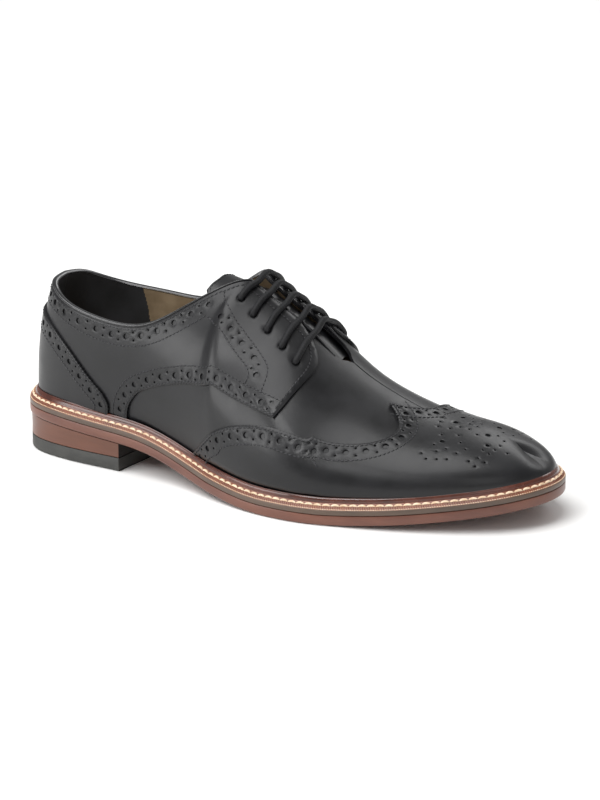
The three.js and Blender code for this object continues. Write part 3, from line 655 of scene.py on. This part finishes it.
def panel(name, edges, holes, lift, flatten, base=OVERLAY_GAP, node=None):
    """A panel from its edges, each a line of spots and whether it is gimped, and its holes."""
    seam_at = LAST_ROW * ROW_MM
    rim = []
    for spots, gimped in edges:
        flat = flatten(spots)
        if gimped == "seam":
            line = flat
        else:
            line = spaced(smooth_line(flat) if len(flat) > 2 else flat, lift, RIM_STEP)
            if gimped:
                phase = np.arange(len(line)) * RIM_STEP / GIMP_PITCH * math.pi
                depth = GIMP_DEPTH * np.abs(np.sin(phase))
                line = moved(line, lift, sideways(line, lift) * depth[:, None])
        rim += list(line[:-1])
    rim = np.array(rim)
    if (rim[:, 0] * np.roll(rim[:, 1], -1) - np.roll(rim[:, 0], -1) * rim[:, 1]).sum() < 0:
        rim = rim[::-1]
    on_seam = (np.abs(rim[:, 0] - seam_at) < SAME) & (flatten is flat_folded)
    loops, free = [rim], []
    inner = moved(rim, lift, sideways(rim, lift, closed=True) * RIM_WIDTH)
    inner = inner[~on_seam & inside(inner, rim)]
    free.append(inner)
    hole_flat = flatten(np.array([h[:2] for h in holes])) if holes else np.zeros((0, 2))
    if len(holes):
        _, a, b, n = axes_at(hole_flat, lift)
        e1 = unit(a)
        e2 = np.cross(n, e1)
        for k, (_, _, size) in enumerate(holes):
            sides = 20 if size > 2 else 12
            for ring, radius in enumerate((size / 2, size / 2 + HOLE_MARGIN)):
                turn = (np.arange(sides) + ring * 0.5) * 2 * math.pi / sides
                vectors = (e1[k] * np.cos(turn)[:, None] + e2[k] * np.sin(turn)[:, None]) * radius
                circle = moved(np.repeat(hole_flat[k][None], sides, 0), lift, vectors)
                if ring == 0:
                    loops.append(circle)
                else:
                    free.append(circle)
    low, high = rim.min(0), rim.max(0)
    gx, gy = np.meshgrid(np.arange(low[0] + 0.7, high[0], 1.5),
                         np.arange(low[1] + 0.7, high[1], 1.7))
    grid = np.stack([gx.ravel(), gy.ravel()], -1)
    grid = grid[inside(grid, rim)]
    crowd = np.concatenate([rim] + free)
    keep = np.ones(len(grid), bool)
    for start in range(0, len(grid), 500):
        part = grid[start : start + 500]
        keep[start : start + 500] = ((part[:, None] - crowd[None]) ** 2).sum(2).min(1) > 0.75**2
    for centre, (_, _, size) in zip(hole_flat, holes):
        keep &= ((grid - centre) ** 2).sum(1) > (size / 2 + 0.9) ** 2
    free.append(grid[keep])
    vertices = np.concatenate(loops + free)
    constraint, start = [], 0
    for loop in loops:
        constraint.append(list(range(start, start + len(loop))))
        start += len(loop)
    found, _, triangles, origin, _, face_origin = delaunay_2d_cdt(
        [Vector(v) for v in vertices.tolist()], [], constraint, 1, SAME)
    kept = [t for t, o in zip(triangles, face_origin) if list(o) == [0]]
    punched = [t for t, o in zip(triangles, face_origin) if len(o) > 1 and 0 in o]
    flat = np.array([[v.x, v.y] for v in found])
    at_rim = np.array([any(i < len(rim) and not on_seam[i] for i in o) for o in origin])
    at_hole = np.array([any(len(rim) <= i < start for i in o) for o in origin])
    count = len(flat)
    real, _, _, normal = axes_at(flat, lift)
    if flatten is flat_folded:
        edge = np.abs(flat[:, 0] - seam_at) < SAME
        normal[edge] = last_normal(np.full(edge.sum(), float(LAST_ROW)), lift(flat)[1][edge])
    drop = np.where(at_rim, RIM_DROP, np.where(at_hole, HOLE_DROP, 0))
    top = real + normal * (base + PANEL_WALL - drop)[:, None]
    floor = real + normal * (base + PANEL_WALL - HOLE_DEPTH)
    bottom = real + normal * (base - UNDERLAP)
    edges_used = {(a, b): True for t in kept for a, b in zip(t, t[1:] + t[:1])}
    punched_edges = {(a, b) for t in punched for a, b in zip(t, t[1:] + t[:1])}
    faces = [tuple(t) for t in kept]
    faces += [tuple(i + 2 * count for i in t[::-1]) for t in kept + punched]
    faces += [tuple(i + count for i in t) for t in punched]
    for a, b in edges_used:
        if (b, a) in edges_used:
            continue
        if flatten is flat_folded and max(abs(flat[[a, b], 0] - seam_at)) < SAME:
            continue
        under = count if (b, a) in punched_edges else 2 * count
        faces.append((b, a, a + under, b + under))
    used = sorted({i for face in faces for i in face})
    number = {old: new for new, old in enumerate(used)}
    faces = [tuple(number[i] for i in face) for face in faces]
    return piece(name, np.concatenate([top, floor, bottom])[used], faces, [calf],
                 [node] if node else (), weld=0.003, sharp=48)


def stitches(name, lines, lift, height, pitch=2.3, radius=0.36, material=None):
    """Rows of stitches on lines given flat, lying on a surface at a height over the last."""
    points, faces, count = [], [], 0
    for line in lines:
        if len(line) < 3:
            continue
        flat = spaced(line, lift, pitch)
        middle = (flat[:-1] + flat[1:]) / 2
        real, _, _, normal = axes_at(middle, lift)
        ends = last_point(*lift(flat))
        along = ends[1:] - ends[:-1]
        along = unit(along - normal * (along * normal).sum(1)[:, None])
        side = np.cross(normal, along)
        slant = along * math.cos(0.16) + side * math.sin(0.16)
        own, own_faces = capsules(real + normal * height, slant, np.cross(normal, slant), normal,
                                  pitch * 0.86, radius, flat=0.9, rings=5, sides=6)
        points.append(own)
        faces += [tuple(i + count for i in face) for face in own_faces]
        count += len(own)
    piece(name, np.concatenate(points), faces, [material], sharp=80)


# Bonded nylon thread, dyed black: fine, slightly glossy twists.
THREAD_LIFT = 0.06
black_thread = surface("bonded nylon thread, black", ("#161618", "#29292d"), 0.42, 0.3, 0.03,
                       patch_mm=2)


def mirrored(spots):
    return [(TURN - spot[0], *spot[1:]) for spot in spots]


def border_holes(flat, lift, pitch):
    """Big holes along a line, with a pair of small ones across it between each two."""
    line = spaced(flat, lift, pitch / 2)
    side = sideways(line, lift)
    holes = []
    for i in range(1, len(line) - 1):
        if i % 2 == 1:
            row, share = lift(line[i : i + 1])
            holes.append((row[0], share[0], BIG_HOLE))
        else:
            for way in (-1, 1):
                row, share = lift(moved(line[i : i + 1], lift, side[i : i + 1] * way * PAIR_SPREAD))
                holes.append((row[0], share[0], SMALL_HOLE))
    return holes


FOOT = 0.05
STITCH_INSET = 1.3
HOLE_INSET = 4.7
HOLE_PITCH = 9.6
BAND_WIDTH = 9.2
quarter_edge = [(4.6, FOOT), (4.64, 0.19), (4.81, 0.313), (5.0, 0.39), (5.5, 0.452), (6.0, 0.463),
                (6.5, 0.455), (7.0, 0.428), (8.0, 0.384), (9.0, 0.391), (9.7, 0.397)]
quarter_front = [(9.7, 0.397), (10.0, 0.52), (10.31, 0.76), (10.26, 0.86), (10.0, 0.93),
                 (9.5, 0.985)]
quarter_rest = [[(9.5, 0.985), (8.0, 0.985), (4.0, 0.985), (0.02, 0.985)], [(0.02, 0.985),
                (0.02, FOOT)],
                [(0.02, FOOT), (2.0, FOOT), (4.6, FOOT)]]
collar_holes = [(1.1, 0.93), (1.75, 0.925), (2.3, 0.915), (2.85, 0.905), (3.36, 0.898),
                (3.85, 0.892), (4.25, 0.885),
                (4.62, 0.888), (5.0, 0.895), (5.42, 0.9), (5.85, 0.9), (6.26, 0.897), (6.69, 0.895)]
eyestay_holes = [(7.6, 0.726), (8.15, 0.669), (8.56, 0.64), (8.95, 0.612), (9.1, 0.544)]
collar_low = [(0.2, 0.85), (1.2, 0.852), (2.24, 0.845), (3.03, 0.825), (3.5, 0.806),
              (4.24, 0.79), (5.11, 0.803),
              (6.01, 0.812), (6.74, 0.822)]
eyestay_in = [(6.74, 0.822), (7.52, 0.68), (8.13, 0.612), (8.47, 0.582), (8.86, 0.555),
              (8.93, 0.52), (8.85, 0.48)]
eyestay_out = [(6.95, 0.955), (7.2, 0.87), (7.95, 0.741), (8.59, 0.691), (9.02, 0.657),
               (9.35, 0.614), (9.36, 0.554),
               (9.3, 0.487)]
facing_row = [(6.9, 0.95), (7.6, 0.93), (8.3, 0.925), (9.3, 0.925), (9.85, 0.9), (10.1, 0.84),
              (10.16, 0.74),
              (9.95, 0.56), (9.72, 0.44)]
EYELETS = [(8.02, 0.845), (8.56, 0.806), (9.02, 0.78), (9.47, 0.753), (9.87, 0.729)]


def pairs_between(spots):
    """Two small holes across the line between each two big ones."""
    flat = flat_plain(spots)
    middle = (flat[:-1] + flat[1:]) / 2
    side = sideways(middle, lift_plain)
    found = []
    for way in (-1, 1):
        rows, shares = lift_plain(moved(middle, lift_plain, side * way * PAIR_SPREAD))
        found += [(r, s, SMALL_HOLE) for r, s in zip(rows, shares)]
    return found


arch_base = spaced(smooth_line(flat_plain(quarter_edge)), lift_plain, 1.0)
arch_holes = border_holes(beside(arch_base, lift_plain, HOLE_INSET), lift_plain, HOLE_PITCH)
quarter_holes = [(r, s, BIG_HOLE) for r, s in collar_holes + eyestay_holes]
quarter_holes += pairs_between(collar_holes) + pairs_between(eyestay_holes) + arch_holes
quarter_holes += [(r, s, EYELET) for r, s in EYELETS]
quarter_lines = [beside(arch_base, lift_plain, d) for d in (STITCH_INSET, BAND_WIDTH)]
for spots in (collar_low, eyestay_in, eyestay_out, facing_row):
    quarter_lines.append(smooth_line(flat_plain(spots)))
quarter_lines.append(flat_plain([(r, 0.955) for r in np.linspace(0.2, 6.9, 60)]))
quarter_edges = [(quarter_edge, True), (quarter_front, False)] + [(e, False) for e in quarter_rest]
panel("quarter_outer_calf", quarter_edges, quarter_holes, lift_plain, flat_plain,
      node="quarter_outer")
inner_edges = [(mirrored(e)[::-1], g) for e, g in quarter_edges[::-1]]
panel("quarter_inner_calf", inner_edges, mirrored(quarter_holes), lift_plain, flat_plain,
      node="quarter_inner")
mirror_flat = lambda line: (line * [-1, 1] + [TURN * ROW_MM, 0])[::-1]
stitches("quarter_stitches", quarter_lines + [mirror_flat(l) for l in quarter_lines], lift_plain,
         PANEL_TOP + THREAD_LIFT, material=black_thread)

WING_PITCH = 9.8
WING_BAND = 9.3
wing_outer = [(6.5, FOOT), (6.65, 0.084), (7.0, 0.145), (7.5, 0.182), (8.0, 0.216), (8.5, 0.265),
              (9.0, 0.309),
              (9.5, 0.341), (10.5, 0.376), (11.0, 0.373), (11.5, 0.398), (11.9, 0.455),
              (12.17, 0.542),
              (12.25, 0.65), (12.03, 0.765), (11.8, 0.82)]
wing_inner = [(11.8, 0.82), (12.2, 0.888), (12.5, 0.973), (12.58, 0.999), (TURN - 12.6, 0.93),
              (TURN - 12.52, 0.78),
              (TURN - 12.3, 0.58), (TURN - 11.95, 0.465), (TURN - 11.5, 0.4)]
wing_inner += [(TURN - r, s) for r, s in wing_outer[9::-1]]
toe_shares = np.linspace(FOOT, 0.9999, 60)
wing_seam = [(LAST_ROW, s) for s in toe_shares] + [(LAST_ROW + 1e-9, s) for s in toe_shares[::-1]]
wing_edges = [(wing_outer, True), (wing_inner, True),
              ([(TURN - 6.5, FOOT), (TURN - 10.0, FOOT), (TURN - 14.0, FOOT),
                (LAST_ROW + 1e-9, FOOT)], False),
              (wing_seam[::-1], "seam"),
              ([(LAST_ROW, FOOT), (14.0, FOOT), (10.0, FOOT), (6.5, FOOT)], False)]
outer_base = spaced(smooth_line(flat_folded(wing_outer)), lift_folded, 1.0)
inner_base = spaced(smooth_line(flat_folded(wing_inner)), lift_folded, 1.0)
wing_holes = []
for base in (outer_base, inner_base):
    wing_holes += border_holes(beside(base, lift_folded, -HOLE_INSET), lift_folded, WING_PITCH)
medallion = [(13.36, 0.922, 2.6), (13.28, 0.62, 2.4), (14.4, 0.85, 2.6), (14.46, 0.673, 2.2),
             (13.52, 0.86, 0),
             (12.98, 0.86, 0), (13.29, 0.803, 0), (12.99, 0.79, 0), (13.18, 0.70, 0),
             (13.58, 0.733, 0),
             (13.78, 0.858, 0), (14.01, 0.95, 0), (14.05, 0.8, 0), (13.71, 0.638, 0),
             (14.36, 0.592, 0),
             (14.73, 0.63, 0), (14.57, 0.55, 0), (15.12, 0.845, 0), (13.89, 0.562, 0),
             (13.73, 0.501, 0), (13.27, 0.502, 0), (13.45, 0.54, 0), (13.58, 0.425, 0),
             (13.36, 0.418, 0),
             (13.13, 0.413, 0), (12.97, 0.463, 0), (14.9, 0.72, 0), (15.2, 0.6, 0),
             (14.86, 0.92, 0), (14.1, 0.42, 0), (14.3, 0.36, 0), (14.52, 0.42, 0), (14.3, 0.47, 0),
             (13.75, 0.96, 0), (12.98, 0.94, 0), (13.14, 0.57, 0)]
for row, share, size in medallion:
    wing_holes += [(row, share, size or SMALL_HOLE), (TURN - row, share, size or SMALL_HOLE)]
spread = []
for hole in sorted(wing_holes, key=lambda h: -h[2]):
    where = last_point(hole[0], hole[1])
    if all(np.linalg.norm(where - w) > (hole[2] + s) / 2 + 0.9 for w, s in spread):
        spread.append((where, hole[2]))
    else:
        wing_holes.remove(hole)
panel("wing_cap_calf", wing_edges, wing_holes, lift_folded, flat_folded, node="wing_cap")
wing_lines = [beside(b, lift_folded, -d) for b in (outer_base, inner_base)
              for d in (STITCH_INSET, WING_BAND)]
stitches("wing_stitches", wing_lines, lift_folded, PANEL_TOP + THREAD_LIFT, material=black_thread)

counter_side = [(4.18, FOOT), (4.22, 0.17), (4.08, 0.275), (3.89, 0.337), (3.58, 0.449),
                (3.18, 0.588), (2.64, 0.697),
                (1.9, 0.745), (0.9, 0.775)]
counter_edge = counter_side + [(0.0, 0.785)] + [(-r, s) for r, s in counter_side[::-1]]
counter_foot = [(row, FOOT) for row in (-4.18, -2.0, 0.0, 2.0, 4.18)]
counter_edges = [(counter_edge, True), (counter_foot, False)]
counter_base = spaced(smooth_line(flat_plain(counter_edge)), lift_plain, 1.0)
COUNTER_BASE = PANEL_TOP + CLEARANCE
COUNTER_HOLE_INSET = 4.6
COUNTER_BAND = 9.0
counter_holes = border_holes(beside(counter_base, lift_plain, COUNTER_HOLE_INSET), lift_plain,
                             HOLE_PITCH)
panel("counter_calf", counter_edges, counter_holes, lift_plain, flat_plain, base=COUNTER_BASE,
      node="counter")
counter_lines = [beside(counter_base, lift_plain, d) for d in (STITCH_INSET, COUNTER_BAND)]
stitches("counter_stitches", counter_lines, lift_plain, COUNTER_BASE + PANEL_WALL + THREAD_LIFT,
         material=black_thread)

# Collar binding
# The quarter and its lining are turned in together over a cord along the collar and the
# facings, which leaves a smooth round rim. Polish builds up on it, so it shines.
rim_gloss = surface("calf rim, polished bright", ("#101012", "#1c1c1f"), 0.22, 0.45, 0.02,
                    patch_mm=9, coat=0.5, coat_roughness=0.08)
RIM_END = 10.45
RIM_SIDES = 16
rim_rows = np.concatenate([np.linspace(-RIM_END, -7, 70), np.linspace(-7, 7, 180)[1:],
                           np.linspace(7, RIM_END, 70)[1:]])
edge = last_point(rim_rows, np.ones(len(rim_rows)))
normal = last_normal(rim_rows, np.ones(len(rim_rows)))
upward = unit(edge - last_point(rim_rows, np.full(len(rim_rows), 0.985)))
half_width = (PANEL_TOP + UPPER_WALL) / 2 + 0.05
middle = edge + normal * ((PANEL_TOP - UPPER_WALL) / 2) - upward * 0.35
narrow = np.clip((RIM_END - np.abs(rim_rows)) / 0.7, 0.15, 1)[:, None]
rim_rings = [middle + (normal * half_width * math.cos(a) + upward * 1.05 * math.sin(a)) * narrow
             for a in np.arange(RIM_SIDES) * 2 * math.pi / RIM_SIDES]
rim_points = np.stack(rim_rings, 1).reshape(-1, 3)
rim_faces = grid_faces(len(rim_rows), RIM_SIDES) + [tuple(range(RIM_SIDES))]
rim_faces.append(tuple(range(len(rim_points) - RIM_SIDES, len(rim_points))))
piece("collar_binding", rim_points, rim_faces, [rim_gloss], sharp=80)

# Tongue
# A flap of the same calf sewn under the vamp at the throat, backed with lining leather. It
# bridges the gap under the laces and stands a little past the facings.
TONGUE_WALL = 2.4
TONGUE_REACH = 27.0
TONGUE_DEPTH = UPPER_WALL + 1.4
TONGUE_RISE = math.radians(12)
# row, back, width
tongue_table = np.array([[10.6, 0, 0.5], [10.35, 0, 0.8], [10.0, 0, 0.95], [9.4, 0, 1],
                         [8.8, 0, 1], [8.35, 0, 0.98],
                         [8.35, 0.3, 0.86], [8.35, 0.6, 0.74], [8.35, 0.85, 0.58], [8.35, 1, 0.38]])
TONGUE_FOOT = 0.66
CROWN_SHARE = 0.1
DOWN, ACROSS = 73, 41
station = np.linspace(0, len(tongue_table) - 1, DOWN)
tongue_rows = at_lengths(station, np.arange(len(tongue_table)), tongue_table)
across = np.linspace(-1, 1, ACROSS)
backwards = np.array([-math.cos(TONGUE_RISE), 0, math.sin(TONGUE_RISE)])


def through(knots, i, t):
    """The smooth curve through knots, at shares t of the way from knot i to the next."""
    first, last = 2 * knots[0] - knots[1], 2 * knots[-1] - knots[-2]
    ends = np.concatenate([[first], knots, [last]])
    a, b, c, d = (ends[i + k] for k in range(4))
    return 0.5 * (2 * b + (c - a) * t + (2 * a - 5 * b + 4 * c - d) * t**2
                  + (3 * b - a - 3 * c + d) * t**3)


sections = []
for row, back, width in tongue_rows:
    lowest = 1 - (1 - TONGUE_FOOT) * width
    shares = np.array([lowest, (lowest + 1) / 2, 1.0])
    outer = on_last(np.full(3, row), shares, np.full(3, -TONGUE_DEPTH))
    inner = on_last(np.full(3, TURN - row), shares, np.full(3, -TONGUE_DEPTH))[::-1]
    crown = (outer[2] + inner[0]) / 2 + [0, 0, np.linalg.norm(outer[2] - inner[0]) * CROWN_SHARE]
    knots = np.concatenate([outer, crown[None], inner])
    u = (across + 1) / 2 * (len(knots) - 1)
    i = np.minimum(u.astype(int), len(knots) - 2)
    arc = through(knots, i, (u - i)[:, None])
    sections.append(arc + backwards * back * TONGUE_REACH)
tongue = np.array(sections)
du, dv = np.gradient(tongue, axis=0), np.gradient(tongue, axis=1)
tongue_normal = unit(np.cross(dv, du))
tongue_normal *= np.sign(tongue_normal[..., 2:3].mean())
# Millimetres in from the tongue's free end and from its sides, for the rounding of its edge
from_end = np.arange(DOWN)[::-1][:, None] * 0.6
from_side = np.minimum(np.arange(ACROSS), np.arange(ACROSS)[::-1])[None] * 0.9
edge_share = np.minimum(from_end, from_side)
rounding = 0.8 * np.clip(1 - edge_share, 0, 1)[..., None] ** 2
front = tongue - tongue_normal * rounding
back_side = tongue - tongue_normal * (TONGUE_WALL - rounding)
tongue_points = np.concatenate([front.reshape(-1, 3), back_side.reshape(-1, 3)])
sheet = grid_faces(DOWN, ACROSS, closed=False)
n = DOWN * ACROSS
tongue_faces = sheet + [tuple(i + n for i in face[::-1]) for face in sheet]
border = list(range(ACROSS)) + [i * ACROSS + ACROSS - 1 for i in range(1, DOWN)]
border += [n - ACROSS + i for i in range(ACROSS - 2, -1, -1)]
border += [i * ACROSS for i in range(DOWN - 2, 0, -1)]
for a, b in zip(border, border[1:] + border[:1]):
    tongue_faces.append((b, a, a + n, b + n))
tongue_kinds = [0] * len(sheet) + [1] * len(sheet) + [0] * len(border)
piece("tongue_calf", tongue_points, tongue_faces, [calf, quarter_lining],
      ["tongue"], tongue_kinds)
# The seam round the tongue's free end, three grid steps in
trail = [(i, 3) for i in range(34, 69)] + [(69, j) for j in range(4, 37)]
trail += [(i, 37) for i in range(68, 33, -1)]
trail_real = np.array([tongue[i, j] for i, j in trail])
trail_normal = np.array([tongue_normal[i, j] for i, j in trail])
run = lengths(trail_real)
wanted = np.arange(1.2, run[-1], 2.3)
spots = at_lengths(wanted, run, trail_real)
normals = at_lengths(wanted, run, trail_normal)
along = unit(np.gradient(spots, axis=0))
points, faces = capsules(spots + normals * 0.05, along, np.cross(normals, along), normals,
                         2.0, 0.3, rings=5, sides=6)
piece("tongue_stitches", points, faces, [black_thread], sharp=80)

# Lace
# A round braided cotton cord, waxed black. It lies in five straight bars from facing to
# facing, rises out of one eyelet, arches over the gap and drops into the eyelet across.
LACE_RADIUS = 1.65
LACE_ARCH = 3.0
BRAID_PITCH = 3.2
# Cotton, braided and waxed: dull black strands crossing at about 1.6 mm.
lace_cotton = surface("braided cotton, waxed black", ("#0c0c0d", "#1b1b1e"), 0.6, 0.4, 0.08,
                      patch_mm=1.6, shine=0.3)


def smooth_path(knots, step):
    t = np.linspace(0, 1, 24, endpoint=False)[:, None]
    line = [through(knots, i, t) for i in range(len(knots) - 1)]
    line = np.concatenate(line + [knots[-1:]])
    run = lengths(line)
    return at_lengths(np.linspace(0, run[-1], int(run[-1] / step)), run, line), run[-1]


for index, (row, share) in enumerate(EYELETS):
    rest = PANEL_TOP + LACE_RADIUS
    rows = [row] * 5 + [TURN - row] * 5
    shares = [share, share, share + 0.012, (share + 1) / 2, 1.0]
    shares += shares[::-1]
    heights = [-2.6, 0.2, rest - 0.3, rest + 0.15, rest + 0.1]
    heights += heights[::-1]
    knots = on_last(np.array(rows, float), np.array(shares), np.array(heights))
    crown = (knots[4] + knots[5]) / 2 + [0, 0, LACE_ARCH]
    path, length = smooth_path(np.concatenate([knots[:5], crown[None], knots[5:]]), 0.32)
    tangent = unit(np.gradient(path, axis=0))
    ahead = np.array([1.0, 0.0, 0.0])
    side = unit(ahead - tangent * (tangent @ ahead)[:, None])
    over = np.cross(tangent, side)
    sides = 32
    phi = np.arange(sides) * 2 * math.pi / sides
    run = np.arange(len(path))[:, None] * length / len(path)
    twist = run * 2 * math.pi / BRAID_PITCH
    braid = np.cos(4 * phi[None] + twist) * np.cos(4 * phi[None] - twist)
    radius = LACE_RADIUS * (0.985 + 0.05 * braid)
    tube = path[:, None] + radius[..., None] * (side[:, None] * np.cos(phi)[None, :, None]
                                               + over[:, None] * np.sin(phi)[None, :, None])
    faces = grid_faces(len(path), sides)
    faces += [tuple(range(sides)), tuple(range((len(path) - 1) * sides, len(path) * sides))]
    piece(f"lace_{index + 1}", tube.reshape(-1, 3), faces, [lace_cotton],
          [f"lace_bar_{index + 1}"], sharp=80)

# Studio
# A pale floor that runs out of sight, a large soft key light up on the left, a lower fill on
# the right and a strip behind, as for a catalogue picture.
floor_mesh = bpy.data.meshes.new("floor")
floor_mesh.from_pydata([(-6, -6, 0), (6, -6, 0), (6, 6, 0), (-6, 6, 0)], [], [(0, 1, 2, 3)])
floor = bpy.data.objects.new("floor", floor_mesh)
bpy.context.scene.collection.objects.link(floor)
# Matt paper, rolled out: an even white that throws a little light back up under the welt.
paper = surface("paper backdrop, white", ("#f4f4f3", "#f8f8f7"), 0.9, 2.0, 0.02, patch_mm=400)
floor_mesh.materials.append(paper)
floor.location.z = -0.0002
world = bpy.data.worlds.new("studio")
world.use_nodes = True
world.node_tree.nodes["Background"].inputs["Color"].default_value = linear("#ffffff")
world.node_tree.nodes["Background"].inputs["Strength"].default_value = 0.35
bpy.context.scene.world = world
TARGET = Vector((0.00343, 0.01447, 0.03905))


def soft_light(name, place, size, power):
    light = bpy.data.lights.new(name, "AREA")
    light.shape = "RECTANGLE"
    light.size, light.size_y = size
    light.energy = power
    made = bpy.data.objects.new(name, light)
    made.location = place
    made.rotation_euler = (TARGET - Vector(place)).to_track_quat("-Z", "Y").to_euler()
    bpy.context.scene.collection.objects.link(made)


soft_light("key", (-0.95, -1.05, 0.42), (0.8, 0.6), 7)
soft_light("front", (-0.16, -1.1, 0.95), (0.5, 0.35), 5)
soft_light("fill", (1.1, -1.0, 0.7), (0.8, 0.8), 2)
soft_light("back_strip", (0.2, 1.1, 0.9), (1.2, 0.4), 4)
overhead = bpy.data.lights.new("overhead", "SUN")
overhead.energy = 2.4
overhead.angle = math.radians(55)
sky = bpy.data.objects.new("overhead", overhead)
sky.rotation_euler = (math.radians(12), math.radians(-14), 0)
bpy.context.scene.collection.objects.link(sky)

camera_data = bpy.data.cameras.new("camera")
camera_data.sensor_fit = "VERTICAL"
camera_data.sensor_height = 36
camera_data.lens = 123.66
camera = bpy.data.objects.new("camera", camera_data)
azimuth, elevation, distance = math.radians(30.908), math.radians(16.03), 1.41376
camera.location = TARGET + distance * Vector((
    math.sin(azimuth) * math.cos(elevation), -math.cos(azimuth) * math.cos(elevation),
    math.sin(elevation)))
camera.rotation_euler = (camera.location - TARGET).to_track_quat("Z", "Y").to_euler()
bpy.context.scene.collection.objects.link(camera)
bpy.context.scene.camera = camera
bpy.context.scene.view_settings.view_transform = "Standard"
